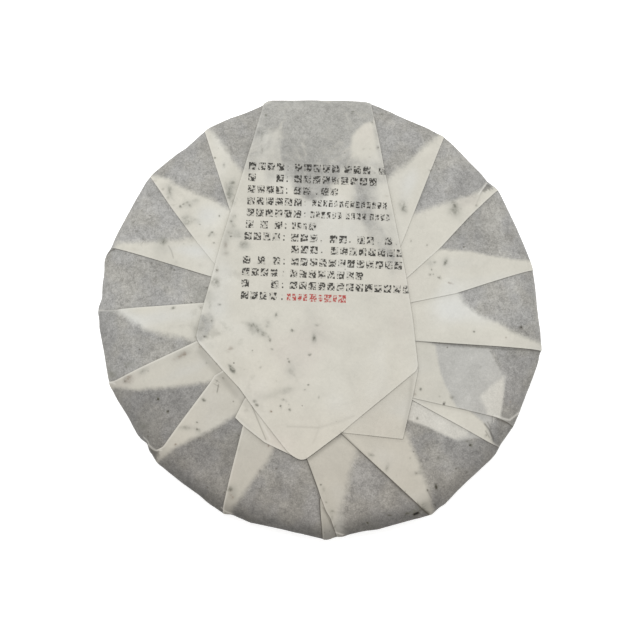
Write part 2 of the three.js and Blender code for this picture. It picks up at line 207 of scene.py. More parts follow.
# Cream patches, where the paper lies threefold, and paler ones, twofold.
CREAM = {
    "left3": [[(-93, 33.2), (-86.7, 32.9), (-71.5, 33.1), (-57.0, 34.6), (-44, 38), (-40, 10), (-94.1, 28.0)]],
    "left2": [[(-79.0, 66.5), (-76.5, 64.3), (-68.4, 62.4), (-65.1, 59.4), (-58.6, 56.4), (-49.4, 52.5), (-40.4, 47.9), (-34, 44), (-44, 10), (-86, 56)]],
    "left1": [[(-52.0, 88.0), (-49.8, 85.4), (-45.2, 79.5), (-40.5, 72.1), (-34.5, 64.5), (-28, 58), (-34, 40), (-48, 44), (-60, 84)]],
    "right1": [[(-91.0, 1.4), (-87.2, -1.6), (-82.6, -4.6), (-79.7, -6.8), (-68.8, -9.6), (-57.1, -12.1), (-48, -14), (-48, 10), (-89, 8)]],
    "right2": [[(-98, -32.5), (-90.2, -33.1), (-82.3, -34.2), (-66.4, -33.1), (-48.7, -30.8), (-40, -28), (-50, -5), (-98, -28)]],
    "right3": [[(-74.0, -67.0), (-70.9, -64.6), (-64.9, -60.3), (-57.7, -56.8), (-48.8, -52.8), (-42.5, -48.8), (-38.3, -46.3), (-30, -42), (-44, -20), (-73.0, -57.0), (-72.6, -61.6)]],
    "right4": [[(-43.5, -91.5), (-40.0, -90.0), (-38.0, -85.7), (-32.6, -78.6), (-27.7, -72.0), (-22.4, -64.9), (-20.4, -60.9), (-16, -52), (-36, -44), (-45.5, -86)]],
    "right5": [[(-2, -101), (8.0, -102), (6, -80), (-8, -80)]],
    "right5b": [[(12.0, -101), (9.0, -88.9), (10.6, -84.0), (12.5, -77.8), (14.7, -67.1), (17.0, -62.2), (19, -54), (-14, -55), (-10, -80), (0, -95), (4, -104)]],
    "right6": [[(53, -92), (50.2, -85.6), (48.7, -78.6), (45.5, -70.6), (43.3, -64.4), (40.2, -56.4), (37.5, -50), (5, -44), (8, -56), (45, -90)]],
    "right7": [[(80.5, -62), (77.8, -57.4), (74.4, -50.0), (67.7, -43.8), (60, -40.0), (38, -34), (38, -44), (76, -60)]],
    "right8": [[(51.7, -14.1), (54.3, -26.3), (57.4, -34.4), (60.9, -41.2), (64, -46), (38, -42), (38, -8)]],
    "right9": [[(102, -13.0), (92.5, -10.1), (86.1, -7.6), (79.7, -3.6), (74.3, -1.9), (68.9, 1.7), (65.0, 5.4), (61.5, 12), (38, 8), (38, -14), (60, -16), (102, -18)]],
    "right10": [[(100, 24.6), (95.5, 25.1), (88.4, 25.2), (77.8, 26.5), (68.2, 28.6), (55.1, 29.3), (46, 30), (34, 10), (38, -3), (100, 13)]],
    "right11": [[(83, 61.5), (81.0, 59.6), (73.8, 56.9), (66.3, 53.2), (56.0, 50.3), (43.5, 46.0), (30, 44), (36, 4), (60, 26), (92, 56)]],
    "right12": [[(56.5, 86), (52.9, 81.9), (48.8, 78.4), (44.8, 74.3), (40.9, 69.3), (35.9, 66.0), (31.3, 62.4), (22, 57), (36, 24), (46, 30), (68, 84)]],
    "small": [[(-60, -30), (-60, -75), (10, -75), (10, -30)]],
    "corner": [[(0, -10), (0, -75), (60, -75), (60, -10)]],
}
PALE = {
    "right6": [[(74, -56), (68.1, -55.8), (61.7, -57.2), (56.4, -55.0), (48.3, -51.0), (38.0, -47.4), (36, -40), (44, -36), (76, -54)]],
    "right7": [[(76.8, -56.0), (74.4, -50.0), (67.7, -43.8), (70, -42.5), (76.4, -43.4), (77.2, -47.6), (76.0, -51.5)]],
    "right8": [[(51.7, -14.1), (76.0, -15.6), (82.5, -28.0), (83.9, -27.6), (82.6, -37.4), (81.2, -46.5), (72, -50), (44, -44), (40, -8)]],
}
PALE_TOP = {        # brighter wedges inside the twofold paper
    "right6": [(36, -40), (44, -36), (66, -47.5), (66.5, -54.8), (60.0, -56.2), (55.0, -54.5), (48.3, -51.5), (38.0, -48.0)],
    "right8": [(82.6, -28.3), (77.6, -32.2), (71.8, -37.0), (74.4, -42.6), (75.5, -47), (82, -48), (83.2, -38)],
}
# the folded-back bits below are darkened with painted shade; the first two are also sunk a little
LOW_FIELDS = [      # small folded-back bits seen darker: name, darkness, outline
    ("right11", 0.50, [(76.4, 61.0), (73.8, 56.5), (79.4, 58.4)]),
    ("right3", 0.40, [(-77.1, -58.9), (-71.5, -61.6), (-73.3, -65.4), (-75.8, -62.5)]),
    ("right5", 0.05, [(-0.3, -81.8), (2.3, -86.5), (5.1, -93.5), (6.7, -99.0), (4.7, -102), (1.5, -101), (0.6, -87.3)]),
    ("right5", 0.08, [(1.1, -90.6), (4.0, -91.5), (6.2, -98.5), (4.7, -102), (1.4, -101)]),
]

# Stains: place, half sizes along and across, turn in degrees, strength, and 1 where brown.
STAINS = [
    (-30.2, -5.2, 1.91, 0.73, -5, 0.60, 0), (-27.9, -7.2, 1.55, 1.09, -45, 0.55, 0), (-25.3, -9.1, 0.91, 0.91, 0, 0.70, 0),
    (-28.6, -6.8, 3.18, 2.27, -40, 0.25, 0), (-23.2, -3.9, 0.64, 0.64, 0, 0.42, 0), (-23.8, -5.7, 0.82, 0.82, 0, 0.32, 0),
    (-22.5, -11.2, 1.27, 0.55, -75, 0.55, 0), (-21.5, -16.3, 0.64, 0.55, 0, 0.55, 0), (-19.4, -0.7, 1.00, 0.55, 80, 0.65, 0),
    (-29.0, -1.2, 0.45, 0.45, 0, 0.25, 0), (-12.2, -7.7, 0.82, 0.64, -10, 0.85, 0), (-5.7, -3.1, 0.45, 0.45, 0, 0.28, 0),
    (-1.2, -5.2, 1.00, 0.50, 10, 0.60, 0), (-2.3, -11.2, 1.45, 0.68, 90, 0.70, 0), (-4.6, -18.5, 0.77, 0.64, 15, 0.65, 0),
    (-13.6, -21.9, 0.59, 0.45, -60, 0.90, 0), (-14.3, -20.5, 0.41, 0.36, 0, 0.60, 0), (-26.6, -24.4, 0.82, 0.50, 30, 0.40, 0),
    (-12.1, -26.8, 2.27, 0.91, -45, 0.28, 0), (-15.4, -34.8, 3.18, 1.18, 15, 0.30, 0), (-22.2, -37.5, 4.09, 1.14, 3, 0.16, 0),
    (-5.0, -32.1, 0.45, 0.41, 0, 0.70, 0), (-6.6, -34.4, 0.50, 0.32, 15, 0.55, 0), (-0.3, -37.9, 0.64, 0.41, 80, 0.55, 0),
    (-29.0, -39.4, 0.82, 0.68, 0, 0.65, 0), (-28.0, -41.2, 0.77, 0.59, -45, 0.70, 0), (-16.2, -38.7, 0.91, 0.55, 10, 0.62, 0),
    (-14.8, -39.5, 0.55, 0.45, 0, 0.42, 0), (-17.3, -41.8, 0.50, 0.45, -45, 1.00, 0), (-13.3, -43.3, 0.55, 0.50, 0, 1.00, 0),
    (-13.8, -41.3, 0.41, 0.50, 0, 0.50, 0), (-21.7, -44.1, 0.41, 0.41, 0, 0.90, 1), (-40.3, -16.2, 2.05, 1.00, 30, 0.38, 1),
    (-35.6, -13.0, 1.55, 0.91, 55, 0.30, 0), (-48.5, -14.5, 1.36, 1.00, -40, 0.30, 0), (-39.2, -25.1, 1.91, 0.82, -50, 0.95, 0),
    (-33.7, -25.2, 0.45, 0.36, 0, 0.25, 0), (-30.2, -16.7, 0.32, 0.32, 0, 0.70, 0), (-45.4, -8.9, 1.09, 0.45, 10, 0.25, 0),
    (-49.4, 3.7, 0.59, 1.82, 0, 0.40, 0), (-44.5, 4.0, 0.45, 0.45, 0, 0.50, 0), (-51.4, -2.9, 2.50, 1.91, 10, 0.30, 0),
    (-53.4, -6.6, 2.05, 1.82, 60, 0.30, 0), (-48.9, -2.5, 1.18, 1.00, 0, 0.25, 0), (-51.1, -10.4, 0.91, 0.73, 0, 0.50, 0),
    (-54.0, -12.2, 0.73, 0.45, 0, 0.40, 0), (-50.0, -9.5, 0.55, 0.55, 0, 0.40, 0), (-38.5, 44.3, 0.82, 0.73, 0, 0.45, 0),
    (-40.0, 42.2, 0.45, 0.45, 0, 0.85, 0), (-38.9, 40.0, 1.00, 0.91, 0, 0.40, 0), (-40.8, 36.9, 1.27, 1.09, 0, 0.40, 0),
    (-40.1, 35.3, 0.55, 0.36, 0, 0.50, 0), (-42.5, 31.2, 0.82, 1.27, 0, 0.45, 1), (-42.3, 27.5, 0.86, 0.55, 10, 0.35, 1),
    (-34.3, 31.6, 1.77, 1.36, 10, 0.50, 0), (-36.9, 35.6, 2.27, 0.82, 0, 0.35, 0), (-46.1, 19.8, 0.41, 1.45, 10, 0.60, 1),
    (-46.9, 14.1, 1.64, 1.82, 0, 0.60, 0), (-36.8, 16.6, 0.73, 0.73, 0, 0.22, 0), (-49.9, 9.8, 0.64, 0.64, 0, 0.28, 0),
    (-47.6, 71.6, 0.45, 0.45, 0, 0.60, 0), (-43.4, 68.1, 0.64, 1.09, 0, 0.45, 0), (-39.9, 60.1, 1.36, 0.82, 0, 0.65, 0),
    (-40.4, 57.5, 0.91, 1.00, 0, 0.60, 0), (-40.9, 54.0, 1.64, 2.73, -15, 0.55, 0), (-39.3, 51.7, 1.36, 2.27, -15, 0.50, 0),
    (-42.5, 58.6, 1.18, 2.27, -20, 0.35, 0), (-75.2, 61.7, 1.18, 0.68, 10, 0.45, 1), (-71.2, 57.4, 0.64, 0.55, 0, 0.45, 0),
    (-67.9, 56.3, 0.73, 2.50, 5, 0.55, 0), (-68.6, 53.7, 0.68, 1.14, 0, 0.40, 0), (-66.6, 49.8, 1.00, 0.64, 0, 0.38, 0),
    (-63.1, 49.1, 0.55, 0.77, 45, 0.55, 0), (-61.5, 50.3, 0.91, 0.41, 25, 0.50, 0), (-59.9, 51.0, 0.64, 0.41, 10, 0.55, 0),
    (-58.8, 49.5, 0.55, 0.82, 40, 0.55, 0), (-56.4, 52.0, 1.18, 0.68, 0, 0.42, 0), (-59.9, 42.5, 1.45, 1.73, -40, 0.62, 0),
    (-61.4, 43.9, 1.09, 0.82, 0, 0.45, 0), (-56.4, 43.3, 1.00, 0.55, 0, 0.40, 0), (-54.3, 40.9, 0.50, 0.45, 0, 0.55, 0),
    (-49.7, 36.1, 0.45, 0.91, -30, 0.65, 0), (-48.8, 37.2, 0.64, 0.41, 20, 0.65, 0), (-47.8, 36.5, 0.36, 0.64, 0, 0.50, 0),
    (-47.7, 32.3, 0.50, 0.41, 0, 0.65, 0), (-45.4, 44.8, 0.32, 0.32, 0, 0.80, 0), (-64.7, 53.2, 2.27, 1.82, 0, 0.14, 0),
    (-70.6, 33.0, 1.27, 1.36, -30, 0.72, 0), (-71.5, 29.0, 2.27, 2.27, 0, 0.14, 0), (-61.5, 32.1, 0.36, 0.36, 0, 0.45, 0),
    (-58.1, 31.2, 0.45, 0.41, 0, 0.35, 0), (-65.9, 2.8, 0.82, 0.55, 30, 0.75, 0), (-62.1, -18.7, 3.00, 1.05, 28, 0.58, 1),
    (-60.1, -17.6, 0.64, 0.45, 25, 0.55, 0), (-85.9, -29.4, 1.50, 1.70, 20, 0.62, 1), (-79.4, -26.0, 2.05, 0.91, 30, 0.32, 0),
    (-50.5, -22.2, 0.50, 0.45, 0, 0.55, 0), (-53.8, -14.9, 1.00, 0.55, -40, 0.35, 1), (-43.1, -29.1, 0.45, 0.45, 0, 0.55, 0),
    (-51.8, -38.9, 0.95, 0.59, -30, 0.70, 0), (-57.7, -44.0, 0.64, 1.09, -30, 0.22, 0), (-54.9, -48.9, 0.41, 0.36, 0, 0.80, 0),
    (-59.9, -51.3, 2.20, 0.73, -5, 0.50, 0), (-54.2, -52.4, 0.91, 0.73, 0, 0.50, 0), (-64.5, -58.6, 0.50, 0.41, 0, 0.60, 1),
    (-22.8, -59.5, 0.36, 0.36, 0, 1.00, 1), (-32.6, -43.6, 1.09, 0.73, 0, 0.35, 0), (-72.4, -38.2, 0.41, 0.59, 30, 1.00, 0),
    (-68.2, -44.0, 0.68, 0.59, -40, 1.00, 0), (-66.6, -52.6, 0.55, 0.45, 0, 0.60, 0), (-85.9, -22.3, 1.82, 1.18, 0, 0.50, 0),
    (-93.6, -26.6, 1.82, 0.91, -15, 0.55, 0), (37.8, 48.9, 2.30, 1.20, -65, 0.62, 0), (20.1, 75.4, 0.73, 0.45, 0, 0.55, 0),
    (22.8, 75.5, 0.45, 0.45, 0, 0.30, 0), (22.8, 71.9, 0.64, 0.45, 0, 0.35, 0), (15.3, 93.4, 1.00, 0.41, 0, 0.55, 0),
    (28.5, 93.0, 0.36, 0.36, 0, 0.90, 0), (24.1, 95.5, 0.91, 0.45, -40, 0.45, 0), (30.6, 53.8, 0.64, 0.45, 0, 0.45, 1),
    (-24.4, 91.7, 0.68, 0.59, 0, 0.65, 0), (-22.4, 84.8, 0.55, 0.36, 0, 0.55, 0), (-26.1, 81.4, 0.41, 2.27, -5, 0.45, 0),
    (-26.2, 75.3, 0.41, 2.27, -5, 0.40, 0), (61.2, 49.8, 1.90, 1.10, -60, 0.60, 0), (61.0, 46.6, 1.80, 1.50, -20, 0.55, 0),
    (63.7, 48.0, 0.91, 0.68, 0, 0.35, 0), (52.0, 23.6, 0.68, 0.55, 0, 0.55, 0), (56.9, 23.6, 0.64, 1.55, -15, 0.65, 0),
    (50.6, 20.1, 0.32, 0.64, 20, 0.60, 0), (51.3, 18.0, 0.36, 0.36, 0, 0.60, 0), (53.4, 16.6, 0.36, 0.36, 0, 0.55, 0),
    (59.0, 14.0, 1.18, 0.41, -20, 0.70, 1), (48.6, 31.3, 0.45, 0.55, 0, 0.50, 0), (41.3, 33.4, 0.41, 0.68, 0, 0.50, 0),
    (71.0, 49.5, 0.59, 0.55, 0, 0.55, 0), (65.4, 42.6, 0.50, 0.45, 0, 0.45, 0), (45.4, -34.0, 0.55, 0.68, 0, 0.70, 0),
    (42.8, -36.3, 0.59, 0.50, 0, 0.65, 1), (53.8, -37.2, 0.45, 0.45, 0, 0.35, 0), (59.7, -37.9, 1.36, 0.68, -35, 0.42, 0),
    (43.7, -47.2, 0.50, 0.55, 0, 0.75, 0), (69.5, -8.0, 0.41, 0.41, 0, 0.80, 0), (83.8, -10.6, 0.36, 0.36, 0, 0.70, 1),
    (72.5, -23.9, 0.45, 0.45, 0, 0.35, 0), (67.5, -33.7, 0.45, 0.45, 0, 0.35, 0), (85.8, -39.5, 0.36, 0.36, 0, 0.80, 1),
    (67.8, -59.1, 0.68, 0.55, 0, 0.90, 0), (66.1, -57.4, 0.41, 0.41, 0, 0.65, 0), (22.9, -63.2, 1.45, 0.64, -20, 0.45, 0),
    (22.6, -63.3, 1.18, 0.50, 50, 0.40, 0), (30.1, -69.4, 0.59, 1.55, -20, 0.42, 0), (44.1, -71.5, 1.59, 0.55, 30, 0.40, 0),
    (34.6, -51.0, 0.45, 0.45, 0, 0.38, 0), (0.6, -76.8, 0.41, 0.41, 0, 0.80, 0), (1.9, -78.7, 0.73, 1.18, 0, 0.35, 0),
    (3.0, -84.3, 0.45, 0.45, 0, 0.70, 0), (5.8, -88.7, 0.91, 0.68, 0, 0.45, 0), (39.1, -89.2, 0.45, 0.45, 0, 0.85, 0),
    (43.1, -89.4, 0.91, 0.36, 25, 0.90, 0), (31.3, -90.1, 0.36, 0.36, 0, 0.60, 0), (21.5, -93.7, 0.50, 0.45, 0, 0.95, 0),
    (28.3, -86.8, 0.36, 0.36, 0, 0.75, 0), (48.3, -79.0, 0.45, 0.45, 0, 0.80, 0), (52.1, -77.6, 0.59, 0.50, 0, 0.95, 0),
    (53.1, -64.5, 0.45, 0.45, 0, 0.95, 0), (40.5, -64.9, 0.45, 0.45, 0, 0.40, 0), (48.8, -52.3, 0.36, 0.36, 0, 0.60, 0),
    (2.3, -97.4, 0.32, 0.32, 0, 0.70, 0), (4.5, -97.0, 0.32, 0.36, 0, 0.60, 0), (-40.0, -78.6, 1.10, 1.00, 0, 0.85, 0),
    (-39.4, -81.6, 1.36, 1.60, 0, 0.42, 1), (-78.9, -50.6, 2.27, 1.18, -30, 0.40, 0), (-96.7, 0.5, 1.14, 0.91, 0, -0.30, 0),
    (-93.8, 1.1, 1.18, 1.00, 0, 0.45, 0), (-96.4, -2.7, 0.91, 0.73, 0, 0.40, 0), (-53.0, 7.8, 3.40, 2.40, 30, 0.26, 0),
    (41.0, -88.9, 2.2, 0.6, 25, 0.75, 0), (44.8, -86.8, 1.5, 0.5, 40, 0.65, 0), (47.5, -88.2, 1.2, 0.7, 0, 0.45, 0), (5.2, -91.8, 0.5, 1.6, -20, 0.55, 0),
    (6.6, -95.8, 0.5, 1.4, -20, 0.60, 0), (-55.2, -11.0, 1.2, 0.4, -40, 0.50, 0), (-52.6, -11.6, 1.2, 0.4, -30, 0.45, 0), (-80.5, 37.5, 0.9, 2.2, -30, 0.30, 0),
    (-84.0, 29.5, 2.6, 0.6, -8, 0.30, 1), (-66.0, 54.0, 6.5, 5.0, -20, 0.22, 0), (-40.3, 57.0, 2.6, 5.5, -15, 0.26, 0), (-36.9, -57.5, 1.0, 3.6, 10, 0.36, 0),
    (46.2, -86.0, 2.6, 1.2, 35, 0.45, 0), (9.0, 12.0, 6.0, 3.0, 30, 0.06, 0), (22.0, -20.0, 5.0, 9.0, 0, 0.05, 0), (-8.0, -28.0, 4.0, 6.0, 20, 0.07, 0),
]
# Small dark specks: places, by strength.
SPECKS = {
    1.90: [(-67.9, -43.8), (55.8, -40.6), (-72.5, -38.4), (90.9, -5.7), (67.4, -58.9)],
    0.95: [(-50.8, 11.9), (-22.3, -12.2), (66.1, -70.9), (-36.1, -54.6), (-47.6, 71.7), (-75.8, 23.3), (-54.9, -51.9), (-46.3, 19.6),
          (54.0, 16.4), (26.6, 76.2), (-51.6, -10.4), (50.2, 65.6)],
    0.75: [(-40.1, 35.2), (-87.6, -30.1), (-84.8, 42.6), (49.9, 17.8), (74.7, -54.4), (-73.9, 16.9), (-43.4, -28.9), (-48.5, -3.2),
          (-46.1, -22.6), (14.8, 92.6), (-80.0, 34.4), (-89.4, 15.7), (-27.7, -7.7), (-80.8, 24.7), (-73.1, -19.9), (-67.1, 21.0),
          (-53.5, -55.9), (24.0, 88.2), (-82.9, 38.2), (-53.5, 2.8), (-87.1, -23.8), (-46.0, -30.3), (-26.6, -70.6), (55.7, -77.6),
          (-44.9, 4.1), (-65.9, -14.5), (43.1, -71.5), (-26.6, -79.5)],
}
# Soft smudges: place, half sizes, turn, strength.
SMUDGES = [
    (-68.0, 56.0, 2.0, 4.0, 12, 0.34), (-70.8, 59.0, 2.5, 1.5, 0, 0.22), (-60.6, 49.9, 3.0, 2.0, 25, 0.28),
    (-56.1, 51.7, 3.0, 1.5, 30, 0.22), (-60.5, 43.0, 2.5, 3.0, -10, 0.38), (-55.5, 42.5, 2.5, 1.5, 0, 0.22),
    (-48.7, 36.1, 2.0, 1.5, 0, 0.22), (-52.9, 46.6, 4.5, 3.5, 0, 0.08), (-40.2, 58.2, 2.0, 4.0, -12, 0.34),
    (-41.1, 54.9, 2.0, 3.5, -12, 0.34), (-44.3, 61.4, 1.5, 2.0, 0, 0.16), (-39.7, 42.5, 2.0, 3.5, -8, 0.28),
    (-37.8, 36.5, 4.5, 2.5, -5, 0.44), (-42.3, 32.9, 1.5, 4.0, -8, 0.40), (-33.7, 31.0, 2.5, 2.0, 0, 0.46),
    (-41.9, 27.4, 1.5, 1.0, 0, 0.26), (-36.0, 23.7, 2.0, 3.0, 0, 0.10), (-73.1, 30.6, 2.5, 3.0, 30, 0.22),
    (-69.5, 29.2, 2.0, 3.0, 0, 0.14), (-70.9, 33.8, 2.5, 2.0, 0, 0.30), (-92.0, 28.9, 3.5, 2.5, -15, 0.16),
    (61.4, 47.1, 3.0, 4.0, 30, 0.36), (66.5, 51.3, 5.0, 1.5, 18, 0.24), (72.0, 54.8, 3.0, 2.0, 40, 0.16),
    (37.8, 48.5, 2.0, 3.0, 10, 0.28), (49.9, 22.8, 1.5, 1.5, 40, 0.30), (56.7, 23.7, 1.5, 2.5, 0, 0.30),
    (-29.1, -6.3, 4.0, 2.5, -35, 0.34), (-25.0, -9.5, 3.0, 1.5, -40, 0.26), (-23.2, -4.5, 1.5, 2.5, 30, 0.22),
    (-19.2, -0.9, 1.5, 1.5, 0, 0.16), (-12.8, -25.8, 2.5, 2.5, 0, 0.24), (-16.0, -34.8, 5.5, 1.7, 12, 0.22),
    (-24.5, -37.5, 7.0, 2.0, 3, 0.13), (-0.3, -10.4, 4.5, 4.0, 0, 0.13), (-2.5, -10.9, 1.5, 3.0, 0, 0.26),
    (-35.3, -27.1, 2.5, 4.5, 0, 0.12), (-11.9, -23.1, 5.0, 6.5, 0, 0.09), (-4.3, 0.5, 2.5, 5.0, 0, 0.10),
    (-6.1, -7.2, 20.0, 2.5, -25, 0.04), (-31.2, -28.9, 3.0, 2.5, 0, 0.08), (11.4, -16.3, 3.0, 7.0, -20, 0.06),
    (4.7, -32.1, 9.0, 4.0, 25, 0.05), (-86.2, -29.7, 2.5, 2.0, 30, 0.40), (-78.9, -25.8, 3.0, 1.5, 30, 0.30),
    (-61.9, -18.1, 3.5, 2.0, 28, 0.30), (-84.8, -23.0, 4.5, 2.0, 0, 0.34), (-93.7, -26.7, 3.0, 2.0, -10, 0.34),
    (-52.6, 9.1, 4.5, 4.5, 20, 0.24), (-72.1, 23.7, 7.0, 4.0, -15, 0.08), (-39.1, -78.6, 2.0, 2.0, 0, 0.34),
    (-38.2, -81.3, 2.0, 2.0, 0, 0.26), (-59.8, -51.4, 4.0, 1.5, -5, 0.24), (-54.4, -53.2, 2.0, 1.5, 0, 0.22),
    (-35.5, -74.6, 3.0, 7.0, -14, 0.08), (-55.6, -6.3, 2.0, 4.0, -10, 0.30), (-49.4, 6.4, 2.5, 2.0, 0, 0.20),
    (-7.4, -82.2, 2.0, 5.0, -8, 0.12), (46.8, -85.6, 2.5, 2.0, 30, 0.34), (4.7, -88.8, 2.0, 2.5, 0, 0.20),
    (23.0, -64.4, 1.5, 1.5, 0, 0.20), (30.1, -68.9, 1.5, 2.5, -15, 0.22), (43.5, -71.5, 3.0, 1.2, 15, 0.20),
    (67.7, -14.0, 15.0, 2.5, -4, 0.06), (47.4, -20.8, 3.5, 7.0, 0, 0.05), (25.0, 6.4, 10.0, 2.5, -10, 0.06),
    (31.7, -7.2, 4.0, 11.0, 0, 0.05), (18.2, -26.2, 11.0, 3.0, 0, 0.04), (29.4, -36.6, 4.5, 6.0, 0, 0.06),
]
# Thin marks and soft shades: tone, the layer they are on, strength, half width, course.
# The dark ones are partly real marks and specks and partly painted shade along fold edges and painted shadow under the
# flaps' edges; the light ones are painted highlights on fold edges.
STROKES = [
    ("dark", "any", 1.90, 0.55, [(42.4, -89.7), (44.0, -89.0)]),
    ("dark", "any", 0.85, 0.34, [(38.7, -89.5), (39.6, -89.3)]),
    ("dark", "any", 0.80, 0.34, [(30.8, -90.2), (31.7, -90.2)]),
    ("dark", "any", 0.95, 0.60, [(45.9, -87.0), (48.6, -88.9)]),
    ("dark", "any", 0.55, 0.30, [(43.8, -84.6), (45.5, -86.9)]),
    ("dark", "any", 0.40, 0.30, [(48.0, -78.6), (49.9, -82.3)]),
    ("dark", "any", 1.30, 0.42, [(52.0, -77.1), (52.2, -78.2)]),
    ("dark", "any", 1.20, 0.36, [(21.3, -93.5), (21.6, -93.8)]),
    ("dark", "any", 0.70, 0.34, [(51.6, -85.2), (52.0, -85.8)]),
    # these run along fold edges: painted shade
    ("dark", "any", 0.50, 0.42, [(-5.8, -65.1), (-3.8, -70.2), (-0.7, -79.1), (-0.0, -83.5), (0.4, -90.2)]),
    ("dark", "any", 0.40, 0.36, [(0.4, -90.2), (1.1, -95.5), (1.1, -98.5)]),
    ("dark", "any", 0.42, 0.36, [(1.8, -87.1), (3.8, -91.1), (6.0, -95.9)]),
    ("dark", "any", 0.48, 0.42, [(9.6, -53.4), (18.1, -61.7), (27.0, -70.2), (35.9, -78.6), (45.5, -86.9), (48.8, -88.8)]),
    ("dark", "any", 0.42, 0.36, [(43.0, -12.2), (58.7, -13.7), (81.2, -15.7), (100.1, -16.2)]),
    ("dark", "any", 0.75, 0.45, [(-93.3, 30.3), (-95.0, 29.9), (-96.8, 27.9)]),
    ("dark", "any", 0.50, 0.23, [(-79.8, 35.8), (-78.6, 33.0)]),
    ("dark", "any", 0.50, 0.23, [(-78.8, 34.6), (-80.5, 32.1)]),
    ("dark", "any", 0.30, 0.32, [(-68.3, 31.0), (-67.0, 28.8), (-66.2, 26.0)]),
    ("dark", "any", 0.55, 0.23, [(-46.8, -29.7), (-44.8, -31.0)]),
    ("dark", "any", 0.60, 0.27, [(-45.3, -32.1), (-45.9, -35.2)]),
    ("dark", "any", 0.50, 0.23, [(-47.2, -31.5), (-45.2, -32.8)]),
    ("dark", "any", 0.60, 0.41, [(74.0, -49.4), (76.3, -52.2), (78.1, -55.9)]),
    ("dark", "any", 0.45, 0.36, [(75.3, -48.6), (76.9, -51.5)]),
    ("dark", "any", 0.45, 0.32, [(74.4, -52.6), (76.1, -55.3)]),
    # painted shade in the flap's shallow folds
    ("dark", "flap", 0.13, 0.45, [(-14.4, -50.8), (-8.8, -51.0), (-0.3, -51.4)]),
    ("dark", "flap", 0.09, 0.59, [(-0.3, -51.4), (10.7, -48.1), (15.2, -46.3)]),
    ("dark", "flap", 0.08, 0.45, [(-0.3, -52.1), (-3.0, -58.3)]),
    ("dark", "any", 0.16, 0.27, [(73.6, 56.3), (70.9, 49.7)]),
    ("dark", "any", 0.70, 0.32, [(42.2, -89.9), (45.7, -87.3)]),
    # painted shade in the small flap's fold
    ("dark", "small", 0.40, 0.27, [(-30.3, -41.5), (-26.2, -51.4), (-24.0, -56.6)]),
    # painted shade along a fold edge
    ("dark", "any", 0.60, 0.27, [(79.7, -47.2), (83.4, -48.4), (87.1, -50.0)]),
    # painted shadow under the edges of the flap, the corner piece and the small flap
    ("dark", "under", 0.24, 1.80, [(-53.3, -17.2), (-43.4, -28.9), (-37.3, -36.4)]),
    ("dark", "under", 0.14, 1.09, [(-37.3, -36.4), (-32.7, -41.8)]),
    ("dark", "under", 0.30, 1.18, [(-5.4, -65.5), (2.4, -59.8), (9.6, -54.3)]),
    ("dark", "under", 0.16, 0.91, [(41.3, -29.4), (40.5, -38.8), (39.0, -46.5), (37.7, -52.8)]),
    ("dark", "under", 0.10, 0.91, [(-36.5, -46.5), (-30.2, -53.0), (-24.8, -58.6)]),
    # painted highlights on fold and flap edges, and on the small flap's fold
    ("light", "any", 0.60, 0.36, [(76.5, 61.2), (72.3, 55.2)]),
    ("light", "any", 0.65, 0.41, [(78.3, -45.6), (83.2, -47.0), (85.3, -47.4), (87.2, -46.0), (89.8, -44.0)]),
    ("light", "any", 0.55, 0.36, [(-95.5, -29.7), (-92.3, -30.8)]),
    ("light", "any", 0.50, 0.24, [(-79.0, -55.3), (-77.2, -58.6), (-73.3, -61.0), (-70.9, -61.1)]),
    ("light", "any", 0.50, 0.32, [(-100.6, 2.8), (-97.7, 2.6)]),
    ("light", "any", 0.40, 0.27, [(-43.7, -86.5), (-40.1, -89.2)]),
    ("light", "any", 0.50, 0.32, [(7.2, -97.8), (10.3, -98.5)]),
    ("light", "flap", 0.45, 0.45, [(-55.4, -11.1), (-53.6, -12.9), (-51.5, -15.4)]),
    ("light", "flap", 0.28, 0.45, [(-51.5, -15.4), (-42.7, -25.4)]),
    ("light", "any", 0.50, 0.27, [(78.1, -46.3), (78.1, -48.4)]),
    ("light", "small", 0.35, 0.41, [(-29.2, -41.3), (-24.7, -51.2), (-22.2, -56.3)]),
    ("light", "small", 0.25, 0.36, [(-37.4, -46.6), (-25.3, -57.0), (-15.4, -62.1)]),
]
